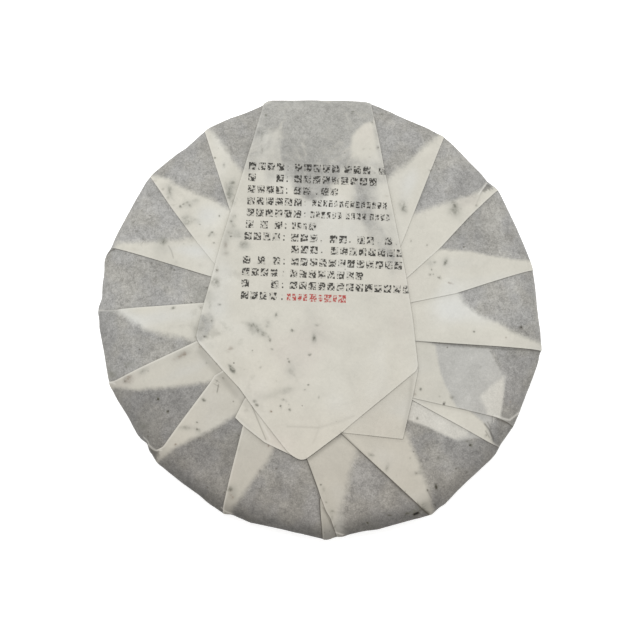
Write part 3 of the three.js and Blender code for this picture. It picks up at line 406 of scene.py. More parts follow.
# Grey of the tea behind the flap: strength, blur of the border, outline.
CLOUD = [
    (1.50, 2.5, [(-6.2, 90.5), (9.3, 90.5), (9.3, 76.6), (-6.2, 76.6)]),
    (0.45, 1.5, [(23.7, 88.7), (27.2, 89.8), (29.8, 75.3), (32.9, 63.2), (29.3, 62.3), (25.7, 75.3)]),
    (1.00, 1.9, [(-26.5, 102.6), (-9.0, 103.0), (16.3, 103.0), (26.0, 102.1), (27.2, 92.0), (24.0, 88.6), (20.3, 87.4), (17.0, 84.6), (14.9, 81.3), (14.2, 76.2), (14.6, 72.5), (12.4, 67.8), (9.8, 64.6), (7.9, 61.8), (-15.2, 61.8), (-17.0, 66.9), (-18.2, 74.3), (-19.0, 80.9), (-19.4, 85.2), (-26.3, 85.3)]),
    (0.80, 2.1, [(-30.2, 102.6), (-16.4, 102.6), (-16.2, 82.4), (-22.6, 82.2), (-31.6, 80.0)]),
    (0.50, 2.3, [(-32.7, 84.9), (-23.1, 85.2), (-23.5, 74.3), (-25.7, 66.9), (-33.4, 62.3), (-35.7, 70.6)]),
    (0.42, 2.5, [(-25.4, 85.8), (-15.3, 85.6), (-15.2, 62.3), (-24.3, 59.5), (-27.1, 70.6)]),
    (0.78, 2.7, [(-15.3, 66.9), (10.2, 66.9), (7.9, 60.5), (4.7, 54.9), (1.1, 51.7), (-3.4, 50.8), (-7.1, 52.2), (-10.7, 55.8), (-13.4, 60.5)]),
    (0.52, 2.7, [(11.1, 74.3), (15.7, 72.5), (19.3, 71.1), (24.8, 70.6), (31.1, 68.8), (31.5, 59.5), (21.1, 58.6), (13.8, 59.5), (7.5, 60.5), (9.3, 66.9)]),
    (0.76, 3.4, [(15.6, 59.5), (20.6, 61.4), (25.6, 59.5), (26.5, 53.1), (25.6, 46.6), (24.2, 40.7), (20.6, 38.8), (17.9, 42.0), (15.6, 48.0), (14.3, 54.0)]),
    (0.58, 3.4, [(18.8, 43.9), (25.1, 44.8), (29.2, 40.2), (32.8, 32.4), (35.5, 23.7), (31.8, 21.0), (26.4, 26.5), (22.4, 32.4), (19.2, 37.5)]),
    (0.28, 2.7, [(23.8, 49.9), (32.9, 49.9), (37.3, 33.8), (38.2, 21.9), (32.7, 16.0), (27.3, 21.0), (24.6, 29.2), (21.9, 38.4)]),
    (0.26, 2.7, [(-10.7, 54.0), (2.9, 55.8), (4.7, 49.4), (1.1, 42.0), (-5.2, 37.5), (-10.7, 40.2), (-13.4, 47.6)]),
    (0.62, 1.1, [(-54.3, -0.4), (-48.9, 0.5), (-46.7, -2.7), (-48.0, -6.3), (-50.2, -9.5), (-52.4, -12.7), (-55.1, -13.1), (-56.1, -10.0), (-55.2, -5.0)]),
]
# Lighter patches and streaks in it: place, half sizes, turn, strength.
CLEAR = [
    (-21.2, 78.1, 1.5, 5.4, -6, 0.35), (-17.8, 79.9, 0.6, 8.2, -3, 0.35), (-26.2, 70.6, 2.3, 2.7, 0, 0.30), (20.7, 80.9, 2.5, 5.4, 4, 0.35), (23.8, 66.9, 4.1, 0.8, -35, 0.50),
    (18.8, 66.0, 2.7, 0.7, -40, 0.40), (4.8, 95.6, 5.0, 3.0, 0, 0.16), (-0.7, 81.8, 6.0, 3.5, 25, 0.03), (-10.8, 91.5, 4.0, 5.0, 20, 0.14), (8.4, 47.6, 5.0, 5.0, 0, 0.50), (16.5, 35.6, 3.0, 6.0, -20, 0.40),
]
# Where the cream paper looks cooler (+) or warmer (-).
TONES = [
    (-71.9, -1.8, 13.6, 2.7, 5, 0.60), (-51.9, 45.3, 5.9, 5.5, -40, 1.00), (-58.6, 29.2, 9.1, 2.7, -5, 1.00),
    (-44.0, 10.0, 6.4, 12.7, -15, 1.00), (-32.2, -7.2, 10.0, 10.0, 0, 0.60), (41.1, 60.5, 3.2, 6.4, -20, 0.80),
    (54.5, 23.7, 12.7, 2.7, 5, 0.50), (51.0, 44.3, 5.5, 3.6, 20, 0.60), (59.7, 0.9, 13.6, 4.1, -5, 0.70),
    (-60.4, -25.8, 12.7, 2.7, 20, 0.70), (-8.8, -15.4, 11.8, 10.9, 0, -0.80), (35.3, -7.2, 4.5, 18.2, -5, -0.60),
    (47.3, -32.1, 5.5, 4.5, 0, -1.00), (-85.3, -29.2, 6.4, 2.3, 25, -0.90), (-40.0, -70.2, 3.6, 7.3, 0, -0.80),
    (-19.9, -56.8, 5.5, 2.7, -40, -0.70), (13.6, -61.3, 7.3, 5.5, -40, -0.40), (29.3, -50.1, 5.5, 3.6, 0, -0.80),
    (68.3, 52.3, 6.4, 2.7, 30, -1.00), (74.8, 20.1, 13.6, 2.3, 10, -0.50), (81.2, -12.6, 10.9, 2.3, 0, -0.80),
    (-43.0, 68.3, 2.7, 6.4, -25, 0.60), (21.2, 82.8, 3.6, 7.3, 0, -0.70), (2.4, -74.7, 2.7, 11.8, 0, -0.30),
    (-81.0, 1.9, 4.5, 1.4, 0, -0.50), (-72.6, 58.1, 4.5, 2.7, -35, -0.60),
]


# ------------------------------------------------------------ polyline helpers
def dense(points, step):
    """The polyline with points at most step apart."""
    points = np.asarray(points, float)
    out = [points[:1]]
    for p, q in zip(points[:-1], points[1:]):
        n = max(1, int(math.ceil(np.hypot(*(q - p)) / step)))
        out.append(p + (q - p) * (np.arange(1, n + 1) / n)[:, None])
    return np.concatenate(out)


def rounded(points, passes=3):
    """The polyline with its bends eased, and its ends kept."""
    p = dense(points, 0.7)
    for _ in range(passes):
        p[1:-1] = 0.25 * p[:-2] + 0.5 * p[1:-1] + 0.25 * p[2:]
    return p


def thin(line, tol=0.008):
    """The polyline without the points that lie on the line between others."""
    line = np.asarray(line, float)
    keep = [0]
    i = 0
    while i < len(line) - 1:
        j = i + 1
        while j + 1 < len(line):
            d = line[j + 1] - line[i]
            n = np.hypot(*d)
            if n < 1e-9:
                break
            off = np.abs((line[i + 1:j + 1, 0] - line[i, 0]) * d[1] - (line[i + 1:j + 1, 1] - line[i, 1]) * d[0]) / n
            if off.max() > tol:
                break
            j += 1
        keep.append(j)
        i = j
    return line[keep]


def normals(p):
    """Unit normals on the left of the direction of travel."""
    t = np.gradient(p, axis=0)
    t /= np.maximum(np.hypot(t[:, 0], t[:, 1]), 1e-9)[:, None]
    return np.stack([-t[:, 1], t[:, 0]], 1)


def inside(p, poly):
    """Whether each place is inside the closed polygon."""
    x, y = p[:, 0], p[:, 1]
    poly = np.asarray(poly, float)
    hit = np.zeros(len(p), bool)
    for (x0, y0), (x1, y1) in zip(poly, np.roll(poly, -1, 0)):
        if y0 == y1:
            continue
        hit ^= ((y0 > y) != (y1 > y)) & (x < (x1 - x0) * (y - y0) / (y1 - y0) + x0)
    return hit


def distance(p, line, closed=False):
    """Distance of each place to the polyline, and the nearest stretch's direction."""
    line = np.asarray(line, float)
    b = np.roll(line, -1, 0)
    a = line
    if not closed:
        a, b = a[:-1], b[:-1]
    best = np.full(len(p), 1e9)
    way = np.zeros((len(p), 2))
    for u, v in zip(a, b):
        d = v - u
        n = max(float(d @ d), 1e-12)
        t = np.clip(((p - u) @ d) / n, 0, 1)
        g = p - u - t[:, None] * d
        dist = g[:, 0] ** 2 + g[:, 1] ** 2
        m = dist < best
        best[m] = dist[m]
        way[m] = d / math.sqrt(n)
    return np.sqrt(best), way


# -------------------------------------------------------------- smooth noise
_rng = np.random.default_rng(41)
_perm = _rng.permutation(512)
_vals = _rng.uniform(-1, 1, 512)


def noise3(p, scale, seed=0):
    """Smooth noise from -1 to 1 at places p, with features about scale across."""
    g = p / scale + 17.3 * seed
    i = np.floor(g).astype(int)
    f = g - i
    f = f * f * f * (f * (f * 6 - 15) + 10)
    total = np.zeros(len(p))
    for dx in (0, 1):
        wx = f[:, 0] if dx else 1 - f[:, 0]
        for dy in (0, 1):
            wy = f[:, 1] if dy else 1 - f[:, 1]
            for dz in (0, 1):
                wz = f[:, 2] if dz else 1 - f[:, 2]
                k = _perm[(i[:, 0] + dx + _perm[(i[:, 1] + dy + _perm[(i[:, 2] + dz + seed * 31) & 511]) & 511]) & 511]
                total += wx * wy * wz * _vals[k]
    return total * 1.4


# ============================================ creases on the unrolled sheet
FAR = 420.0


def outward(q, slant=0.6, reach=34.0):
    """The crease carried on round the rim, turning towards the radius as it goes."""
    d = q[0] - q[2]
    d /= np.hypot(*d)
    out = [q[0]]
    p = q[0].copy()
    for k in range(int(reach / 0.8)):
        radial = p / np.hypot(*p)
        m = slant * math.exp(-k * 0.8 / 12.0)
        step = m * d + (1 - m) * radial
        p = p + 0.8 * step / np.hypot(*step)
        out.append(p.copy())
    return np.array(out[::-1])


creases = []          # each fold's edge line and the region it covers, unrolled
for k, spec in enumerate(PANELS):
    q = unroll(rounded(spec["crease"]))
    tail = outward(q)
    hidden = dense([q[-1], q[-1] * 0.45], 2.0)[1:]
    line = np.concatenate([tail[:-1], q])
    full = np.concatenate([line, hidden, [[0, 0]]])
    a0 = math.degrees(math.atan2(full[0][1], full[0][0])) % 360
    if spec["side"] > 0:
        a0 += 360.0 if a0 < 90.0 else 0.0
        stops = np.arange(a0, 450.0, 10.0)
    else:
        stops = np.arange(a0, 90.0, -10.0)
    ring = [(FAR * math.cos(math.radians(a)), FAR * math.sin(math.radians(a))) for a in stops]
    region = np.concatenate([full, [[0, FAR]], np.array(ring)[::-1]])
    creases.append(dict(spec, edge=np.concatenate([line, hidden]), region=region, base=0.12 + 0.02 * min(k, 3 if k < 3 else k - 3)))


def turned(name, plan_ring, last, base, **look):
    """A turned corner: a closed patch whose visible edge runs from its first point to the one numbered last."""
    q = unroll(dense(plan_ring + plan_ring[:1], 0.8))
    edge = unroll(dense(plan_ring[:last + 1], 0.8))
    creases.append(dict(look, name=name, edge=edge, region=q[:-1], base=base, soft=1.0, grey=1.0))


turned("small", SMALL_FLAP, 7, 0.78, line=0.55, lip=0.35, cream=1.0)
turned("corner", CORNER_PIECE, 5, 0.80, line=0.45, lip=0.2, cream=0.965)
flap_q = unroll(rounded(FLAP, passes=2))
flap_line = np.concatenate([outward(flap_q, slant=0.8)[:-1], flap_q, outward(flap_q[::-1], slant=0.8)[:-1][::-1]])
flap_region = np.concatenate([flap_line, [flap_line[-1] / np.hypot(*flap_line[-1]) * FAR, [0, FAR], flap_line[0] / np.hypot(*flap_line[0]) * FAR]])
creases.append(dict(name="flap", edge=flap_line, region=flap_region, base=1.0, soft=1.0, grey=1.0, cream=1.0, line=0.4, lip=0.3))
SINGLE, THREEFOLD = 0.12, 0.48
FLAP_ID, CORNER_ID, SMALL_ID = len(creases), len(creases) - 1, len(creases) - 2
for c in creases:
    c["region"] = thin(c["region"])
    c["sketch"] = thin(c["edge"])

# ===================================================== print: generic blocks
# Rows of plain blocks stand in for the print. Each row: where it starts, and
# runs of (kind, start, count) along it: c a wide block, d a narrow one, m a
# dot, : two dots. The last row's values are red.
PRINT_TILT = math.radians(-2.3)
UNIT = 0.4506
KINDS = {"c": (7.5, 7.8, 9.42), "d": (3.9, 6.8, 5.45), "m": (1.7, 2.0, 3.0)}
ROWS = [
    ((-32.1, 67.8), [("c", 0, 4), (":", 38.5, 1), ("c", 46.3, 5), ("c", 96.3, 3), ("m", 126, 1), ("c", 131, 1)]),
    ((-32.3, 62.5), [("c", 0, 1), ("c", 28.3, 1), (":", 38.5, 1), ("c", 46.3, 9)]),
    ((-32.5, 57.1), [("c", 0, 4), (":", 38.5, 1), ("c", 46.3, 2), ("m", 68.3, 1), ("c", 73.8, 2)]),
    ((-32.7, 51.7), [("c", 0, 6), (":", 57.5, 1), ("d", 65.5, 14)]),
    ((-32.9, 46.3), [("c", 0, 6), (":", 57.5, 1), ("d", 64.0, 6), ("d", 99.5, 4), ("d", 123.5, 4)]),
    ((-33.3, 40.9), [("c", 0, 1), ("c", 14.6, 1), ("c", 29.0, 1), (":", 39.2, 1), ("d", 46.3, 3), ("c", 63, 1)]),
    ((-34.0, 35.5), [("c", 0, 4), (":", 39.0, 1), ("c", 47.0, 3), ("m", 76.5, 1), ("c", 85.8, 2), ("m", 105, 1), ("c", 113.5, 2), ("m", 133.5, 1), ("c", 141, 1), ("m", 151.5, 1)]),
    ((-13.6, 29.4), [("c", 2, 3), ("m", 31.5, 1), ("c", 41.5, 8)]),
    ((-34.6, 24.6), [("c", 0, 1), ("c", 15, 1), ("c", 30, 1), (":", 40.5, 1), ("c", 48.3, 12)]),
    ((-35.0, 19.2), [("c", 0, 4), (":", 40.5, 1), ("c", 48.0, 8)]),
    ((-35.2, 13.9), [("c", 0, 1), ("c", 29.6, 1), (":", 40.5, 1), ("c", 48.3, 12), ("c", 161.5, 1)]),
    ((-35.7, 8.5), [("c", 0.5, 4), (":", 41.0, 1), ("d", 46.5, 4), ("c", 69.0, 1), ("d", 78.2, 1), ("c", 83.8, 1), ("d", 92.8, 1), ("c", 98.2, 1)]),
]
RED_ROW, RED_FROM = 11, 45


def blocks():
    """Corner rings of the blocks, in plan, with 1 for dark ink and 2 for red."""
    c, s = math.cos(PRINT_TILT), math.sin(PRINT_TILT)
    out = []
    for r, ((x0, y0), runs) in enumerate(ROWS):
        for kind, start, count in runs:
            if kind == ":":
                cells = [(start, v, 1.5, 1.7) for v in (-2.6, 1.4)]
            else:
                w, h, pitch = KINDS[kind]
                drop = -2.4 if kind == "m" else 0.0
                cells = [(start + i * pitch, drop, w, h) for i in range(count)]
            for u0, v0, w, h in cells:
                ring = []
                for u, v in ((u0, v0 - h / 2), (u0 + w, v0 - h / 2), (u0 + w, v0 + h / 2), (u0, v0 + h / 2)):
                    u, v = u * UNIT, v * UNIT
                    ring.append((x0 + u * c - v * s, y0 + u * s + v * c))
                out.append((2 if r == RED_ROW and start > RED_FROM else 1, ring))
    return out


# ============================================================ the surface mesh
points, edges = [], []


def add_line(line, keep=None, closed=False):
    """Adds a polyline to the triangulation, leaving out the places not kept."""
    first, last = len(points), None
    for i, p in enumerate(line):
        if keep is not None and not keep[i]:
            last = None
            continue
        points.append((float(p[0]), float(p[1])))
        if last is not None:
            edges.append((last, len(points) - 1))
        last = len(points) - 1
    if closed:
        edges.append((len(points) - 1, first))


for level, c in enumerate(creases):
    line = c["edge"]
    left = normals(line)
    mid = len(line) // 2
    c["sign"] = 1.0 if inside(line[mid:mid + 1] + 0.05 * left[mid:mid + 1], c["region"])[0] else -1.0
    hide = np.zeros(len(line), bool)
    for upper in creases[level + 1:]:
        hide |= inside(line, upper["region"]) & (distance(line, upper["sketch"])[0] > 1.0)
    for off in (-WALL, 0.0, NOSE):
        add_line(line + left * (c["sign"] * off), ~hide)

ink_rings = []
for kind, ring in blocks():
    q = unroll(dense(ring + ring[:1], 2.0))[:-1]
    ink_rings.append((kind, q))
    add_line(q, closed=True)
for _, _, ring in LOW_FIELDS:
    add_line(unroll(dense(ring + ring[:1], 0.8))[:-1], closed=True)


def spot_points():
    """Extra points where a stain or a thin mark needs a finer surface."""
    out = []
    for x, y, rx, ry, turn, k, _ in STAINS:
        c, s = math.cos(math.radians(turn)), math.sin(math.radians(turn))
        out.append((x, y))
        for ring, n in ((0.8, 7), (1.6, 9)):
            for i in range(n):
                a = TAU * (i + 0.5 * (n % 2)) / n
                u, v = ring * rx * math.cos(a), ring * ry * math.sin(a)
                out.append((x + u * c - v * s, y + u * s + v * c))
    for places in SPECKS.values():
        for x, y in places:
            out += [(x, y)] + [(x + 0.38 * math.cos(i * TAU / 6), y + 0.38 * math.sin(i * TAU / 6)) for i in range(6)]
    for _, _, _, w, course in STROKES:
        if w > 1.0:
            continue
        line = dense(course, max(0.45, 1.2 * w))
        n = normals(line)
        for off in (-1.7, -0.8, 0, 0.8, 1.7):
            out += [tuple(p) for p in line + n * off * w]
    return unroll(np.array(out))


base_tree = kdtree.KDTree(len(points))
for i, p in enumerate(points):
    base_tree.insert((p[0], p[1], 0), i)
base_tree.balance()
extra_points = []
for p in spot_points():
    if base_tree.find((p[0], p[1], 0))[2] > 0.16:
        extra_points.append((float(p[0]), float(p[1])))
spot_tree = kdtree.KDTree(len(extra_points))
for i, p in enumerate(extra_points):
    spot_tree.insert((p[0], p[1], 0), i)
spot_tree.balance()
kept = []
for i, p in enumerate(extra_points):       # no two closer than a fifth of a millimetre
    if all(j >= i for _, j, _ in spot_tree.find_range((p[0], p[1], 0), 0.2)):
        kept.append(p)
points += kept

tree = kdtree.KDTree(len(points))
for i, p in enumerate(points):
    tree.insert((p[0], p[1], 0), i)
tree.balance()


def hexgrid(step, reach):
    rows = []
    for j in range(int(2 * reach / (step * 0.8660254)) + 1):
        y = -reach + j * step * 0.8660254
        x = np.arange(-reach + (0.5 * step if j % 2 else 0), reach, step)
        rows.append(np.stack([x, np.full_like(x, y)], 1))
    return np.concatenate(rows)


fine = hexgrid(GRID, 118.0)
fine += np.stack([np.sin(fine[:, 1] * 7.1 + fine[:, 0] * 3.3), np.cos(fine[:, 0] * 5.7 - fine[:, 1] * 2.9)], 1) * 0.12 * GRID
fine_s = np.hypot(fine[:, 0], fine[:, 1]) - (outline(np.arctan2(fine[:, 1], fine[:, 0])) - SHOULDER_W)
fine = fine[fine_s < S_WIDE + 9.0]
coarse = hexgrid(UNDER_GRID, 152.0)
coarse_s = np.hypot(coarse[:, 0], coarse[:, 1]) - (outline(np.arctan2(coarse[:, 1], coarse[:, 0])) - SHOULDER_W)
coarse = coarse[(coarse_s > S_WIDE + 10.0) & (coarse_s < S_FOOT - 1.2)]
for grid, gap in ((fine, 0.5 * GRID), (coarse, 0.5 * UNDER_GRID)):
    for p in grid:
        if tree.find((p[0], p[1], 0))[2] > gap:
            points.append((float(p[0]), float(p[1])))

# the outer ring of the sheet, which is the edge of the flat underside
RING = 300
ring_a = np.arange(RING) * TAU / RING
ring_rho = outline(ring_a) - SHOULDER_W + S_FOOT
ring_start = len(points)
for a, rho in zip(ring_a, ring_rho):
    points.append((float(rho * math.cos(a)), float(rho * math.sin(a))))
for i in range(RING):
    edges.append((ring_start + i, ring_start + (i + 1) % RING))

verts, _, faces, orig_v, _, _ = geometry.delaunay_2d_cdt([Vector(p) for p in points], edges, [], 1, 1e-5, True)
Q = np.array([(v.x, v.y) for v in verts])
tri = np.array([tuple(f) for f in faces], int)
tri = tri[inside(Q[tri].mean(1), np.array(points[ring_start:ring_start + RING]))]      # none across the ring's hollows
print("sheet points", len(Q), "faces", len(tri))

# ------------------------------------------------ heights, folds and looks
N = len(Q)
plan = to_plan(Q)
ang = np.arctan2(Q[:, 1], Q[:, 0])
R_at = outline(ang)
s_at = np.hypot(Q[:, 0], Q[:, 1]) - (R_at - SHOULDER_W)
fade = 1 - smooth(s_at, S_WIDE + 3.0, S_WIDE + 19.0)          # folds run out on the underside
pressed = 1 - 0.55 * smooth(s_at, 6.0, S_WIDE - 2.0)          # and lie tighter round the rim
flat_xyz = skin(Q, np.zeros(N))


def cover(table, name):
    """Signed distance in mm to the edge of a panel's patch of thicker paper, inside positive."""
    value = np.full(N, -30.0)
    for poly in table.get(name, []):
        d, _ = distance(plan, np.array(poly, float), closed=True)
        value = np.maximum(value, np.where(inside(plan, poly), d, -d))
    return value


height = np.full(N, SINGLE)
shift = np.zeros((N, 2))
panel = np.zeros(N, int)                    # 0 is the lowest panel
cream = np.full(N, -30.0)
pale = np.full(N, -30.0)
# distances and strengths for the painted shade line just outside each fold's visible edge and the painted highlight
# just inside it
gap = np.full(N, 9.0)                       # distance outside the nearest visible edge
crease_shade_k = np.zeros(N)
lip = np.full(N, 9.0)                       # distance inside it
lip_highlight_k = np.zeros(N)
for level, c in enumerate(creases):
    ins = inside(Q, c["region"])
    d, way = distance(Q, c["sketch"])
    signed = np.where(ins, d, -d)
    signed[d < 0.02] = 0.0
    up3, up2 = cover(CREAM, c["name"]), cover(PALE, c["name"])
    if level >= SMALL_ID - 1:
        lift = 0.16 + 0.16 * noise3(flat_xyz, 9.0, 60 + level)
        own = c["base"] + np.clip(lift, 0, 1) * np.exp(-np.clip(signed, 0, 50) / 2.2) * (1 - smooth(s_at, 2, 14))
    else:
        own = c["base"] + (THREEFOLD - SINGLE) * smooth(up3, -1.3, 1.3) + 0.14 * smooth(up2, -0.9, 0.9) * (up3 < 0)
        lift = 0.10 + 0.14 * noise3(flat_xyz, 11.0, 60 + level)
        own = own + np.clip(lift, 0, 1) * np.exp(-np.clip(signed, 0, 50) / 1.8) * (1 - smooth(s_at, 4, 20))
    ramp = np.where(signed >= 0, 0.82 + 0.18 * np.clip(signed / NOSE, 0, 1), 0.82 * np.clip(1 + signed / WALL, 0, 1))
    on = signed > -WALL
    height = np.where(on, height * (1 - ramp) + own * ramp, height)
    inner = signed >= -0.02
    panel[inner] = level + 1
    cream[inner] = up3[inner] / c["soft"]
    pale[inner] = up2[inner]
    line_shade_k, lip_highlight_here = np.full(N, c["line"]), np.full(N, c["lip"])
    # along the flap the painted shade line is stronger on its lower edges
    if c["name"] == "flap":
        low = plan[:, 1] < -9
        line_shade_k = np.where(low, np.where(plan[:, 0] < -8, 0.45, np.where(plan[:, 0] < 10.5, 0.75, 0.42)), np.where(plan[:, 0] < 0, 0.22, 0.34))
    gap = np.where(inner, 9.0, gap)
    closer = ~inner & (d < gap)
    gap = np.where(closer, d, gap)
    crease_shade_k = np.where(closer, line_shade_k, crease_shade_k)
    lip = np.where(inner, d, lip)
    lip_highlight_k = np.where(inner, lip_highlight_here, lip_highlight_k)
    # the edge stands out a little over its foot
    toward = np.stack([-way[:, 1], way[:, 0]], 1) * c["sign"]
    amount = np.where((signed > -0.02) & (signed < NOSE), -OVERHANG * (1 - np.clip(signed, 0, NOSE) / NOSE), 0.0)
    amount = np.where(np.abs(signed + WALL) < 0.03, 0.06, amount)
    shift[on] = 0
    shift += toward * (amount * fade * pressed)[:, None]

height = height * fade * pressed + 0.02 * (1 - fade)


def ridge(line, width, depth, level):
    """Raises or sinks the skin along a plan line, on one panel."""
    global height
    d, _ = distance(plan, line)
    height = height + np.where(panel == level, depth * np.exp(-(d / width) ** 2), 0)


ridge([(-30.3, -41.5), (-26.2, -51.4), (-24.0, -56.6)], 0.8, -0.16, SMALL_ID)
ridge([(-28.6, -41.0), (-24.0, -50.6), (-21.6, -56.6)], 1.0, 0.16, SMALL_ID)
ridge([(-14.4, -50.8), (-8.8, -51.0), (-0.3, -51.6), (10.7, -48.1), (15.2, -46.3)], 0.9, -0.10, FLAP_ID)
ridge([(-0.3, -52.1), (-3.0, -58.3)], 0.9, -0.07, FLAP_ID)
for name, _, ring in LOW_FIELDS[:2]:
    level = [i + 1 for i, c in enumerate(creases) if c["name"] == name][0]
    hit = inside(plan, ring)
    height = height - np.where(hit & (panel == level), 0.12, 0)

# leaf bumps under the paper, and the wrapper's own slack
soft_bump = 0.16 * noise3(flat_xyz, 17.0, 1) + 0.09 * noise3(flat_xyz, 8.0, 2) + 0.05 * noise3(flat_xyz, 4.0, 3)
soft_bump = soft_bump * np.where(panel >= SMALL_ID, 0.6, 1.0) * (1 - 0.45 * smooth(cream, -1, 1)) * (1 - 0.55 * smooth(s_at, 10, S_WIDE))
gather = noise3(np.stack([ang * 100 / 3.4, s_at / 16.0, 0 * ang], 1), 1.0, 9)
gather2 = noise3(np.stack([ang * 100 / 7.5, s_at / 22.0, 0 * ang], 1), 1.0, 12)
wall = smooth(s_at, S_WIDE - 6, S_WIDE + 6) * (1 - smooth(s_at, S_WIDE + 10, S_WIDE + 26))
height = height + soft_bump + (0.10 * gather + 0.22 * gather2) * wall
height = np.where(s_at > S_FOOT - 2.0, height * np.clip((S_FOOT - s_at) / 2.0, 0, 1), height)
height = np.where(s_at > S_FOOT - 0.05, 0.0, height)
xyz = skin(Q + shift, height)

# ---------------------------------------------------- the flat underside
lookup = {}
for i, src in enumerate(orig_v):
    for o in src:
        lookup[o] = i
ring_ids = [lookup[ring_start + i] for i in range(RING)]
xyz[ring_ids, 2] = 0.0
ring_xy = xyz[ring_ids, :2]
all_xyz = [xyz]
foot_faces = []
prev = np.array(ring_ids)
start = N
for f in (0.93, 0.84, 0.73, 0.6, 0.45, 0.3, 0.15):
    all_xyz.append(np.concatenate([ring_xy * f, np.zeros((RING, 1))], 1))
    ids = start + np.arange(RING)
    nxt, pn = np.roll(ids, -1), np.roll(prev, -1)
    foot_faces += [(prev[i], ids[i], nxt[i]) for i in range(RING)]
    foot_faces += [(prev[i], nxt[i], pn[i]) for i in range(RING)]
    prev, start = ids, start + RING
all_xyz.append(np.zeros((1, 3)))
foot_faces += [(prev[i], start, prev[(i + 1) % RING]) for i in range(RING)]
V = np.concatenate(all_xyz)
V[:, 2] = np.maximum(V[:, 2], 0.0)

A, B, C = Q[tri[:, 0]], Q[tri[:, 1]], Q[tri[:, 2]]
area = (B[:, 0] - A[:, 0]) * (C[:, 1] - A[:, 1]) - (B[:, 1] - A[:, 1]) * (C[:, 0] - A[:, 0])
tri[area < 0] = tri[area < 0][:, ::-1]
centres = (A + B + C) / 3
F = np.concatenate([tri, np.array(foot_faces, int)])

mesh = bpy.data.meshes.new("wrapped_cake")
mesh.from_pydata([tuple(v * MM) for v in V], [], [tuple(int(i) for i in f) for f in F])
mesh.update()
extra = len(V) - N


def point_values(name, values, fill=0.0):
    att = mesh.attributes.new(name, "FLOAT", "POINT")
    att.data.foreach_set("value", np.concatenate([values, np.full(extra, fill)]).astype(np.float32))


def blob(x, y, rx, ry, turn=0.0):
    """A soft patch in plan: 1 in its middle, falling away over its half sizes."""
    c, s = math.cos(math.radians(turn)), math.sin(math.radians(turn))
    dx, dy = plan[:, 0] - x, plan[:, 1] - y
    u, v = dx * c + dy * s, -dx * s + dy * c
    return np.exp(-((u / rx) ** 2 + (v / ry) ** 2))


cloud = np.zeros(N)
for k, soft, ring in CLOUD:
    near = inside(plan, ring)
    d, _ = distance(plan, np.array(ring, float), closed=True)
    cloud = np.maximum(cloud, k * smooth(np.where(near, d, -d), -soft, soft))
for x, y, rx, ry, turn, k in CLEAR:
    cloud = cloud * (1 - k * blob(x, y, rx, ry, turn))
tone = np.clip(sum(0.7 * k * blob(x, y, rx * 1.25, ry * 1.25, t) for x, y, rx, ry, t, k in TONES), -1, 1)
stain, brown = np.zeros(N), np.zeros(N)
for x, y, rx, ry, turn, k, b in STAINS:
    w = k * blob(x, y, 1.35 * rx, 1.35 * ry, turn)
    stain = np.maximum(stain, w)
    if b:
        brown = np.maximum(brown, w)
smear = np.zeros(N)
for x, y, rx, ry, turn, k in SMUDGES:
    smear = 1 - (1 - smear) * (1 - k * blob(x, y, rx, ry, turn))
layer = {"any": np.ones(N, bool), "flap": panel == FLAP_ID, "under": panel != FLAP_ID, "small": panel == SMALL_ID}
dark, light = np.zeros(N), np.zeros(N)
for kind, on, k, w, course in STROKES:
    d, _ = distance(plan, np.array(course, float))
    v = np.where(layer[on], k * np.exp(-(d / w) ** 2), 0)
    if kind == "dark":
        dark = np.maximum(dark, v)
    else:
        light = np.maximum(light, v)
# painted shade on the folded-back bits
for name, k, ring in LOW_FIELDS:
    level = [i + 1 for i, c in enumerate(creases) if c["name"] == name][0]
    dark = np.where(inside(plan, ring) & (panel == level), np.maximum(dark, k), dark)
for k, places in SPECKS.items():
    for x, y in places:
        dark = np.maximum(dark, k * blob(x, y, 0.36, 0.36))
# where loose smudges may gather
smudge = np.clip(
    0.75 * blob(-45.0, 5.0, 26.0, 45.0, 10) + 0.35 * blob(-20.0, -20.0, 26.0, 26.0) + 0.30 * blob(-70.0, -10.0, 26.0, 40.0)
    + 0.35 * blob(10.0, 70.0, 30.0, 22.0) + 0.20 * blob(75.0, 20.0, 30.0, 60.0), 0, 1)
pale_top = np.zeros(N)
for name, ring in PALE_TOP.items():
    level = [i + 1 for i, c in enumerate(creases) if c["name"] == name][0]
    d, _ = distance(plan, np.array(ring, float), closed=True)
    pale_top = np.where(panel == level, smooth(np.where(inside(plan, ring), d, -d), -1.0, 1.0), pale_top)

# per-panel tones: the paper's own tone together with painted shade, mostly darker on the view's lower side
grey_of = np.array([1.0] + [c["grey"] for c in creases])
cream_of = np.array([1.0] + [c["cream"] for c in creases])
# painted shade: the rim is darkened towards the view's lower side (-y), most in a lower-left band and a little on the
# left, where it turns away from the key light; the painted shade fades out below the widest line
south = np.clip(-np.sin(ang), 0, 1)                       # the picture's lower side
bearing = np.degrees(ang) % 360
low = smooth(bearing, 220.0, 238.0) * (1 - smooth(bearing, 290.0, 304.0)) * smooth(s_at, 17.0 - 10.0 * np.exp(-((bearing - 284.0) / 9.0) ** 2), S_WIDE - 1.0)
west = np.exp(-((bearing - 190.0) / 12.0) ** 2)
rim = smooth(s_at, 13.0, S_WIDE - 1.0) * (0.02 + 0.20 * south + 0.05 * west) + 0.125 * low
rim = rim * (1 - smooth(s_at, S_WIDE + 0.5, S_WIDE + 13.0))
below = smooth(s_at, S_WIDE + 1.0, S_WIDE + 19.0)         # the underside is one sheet

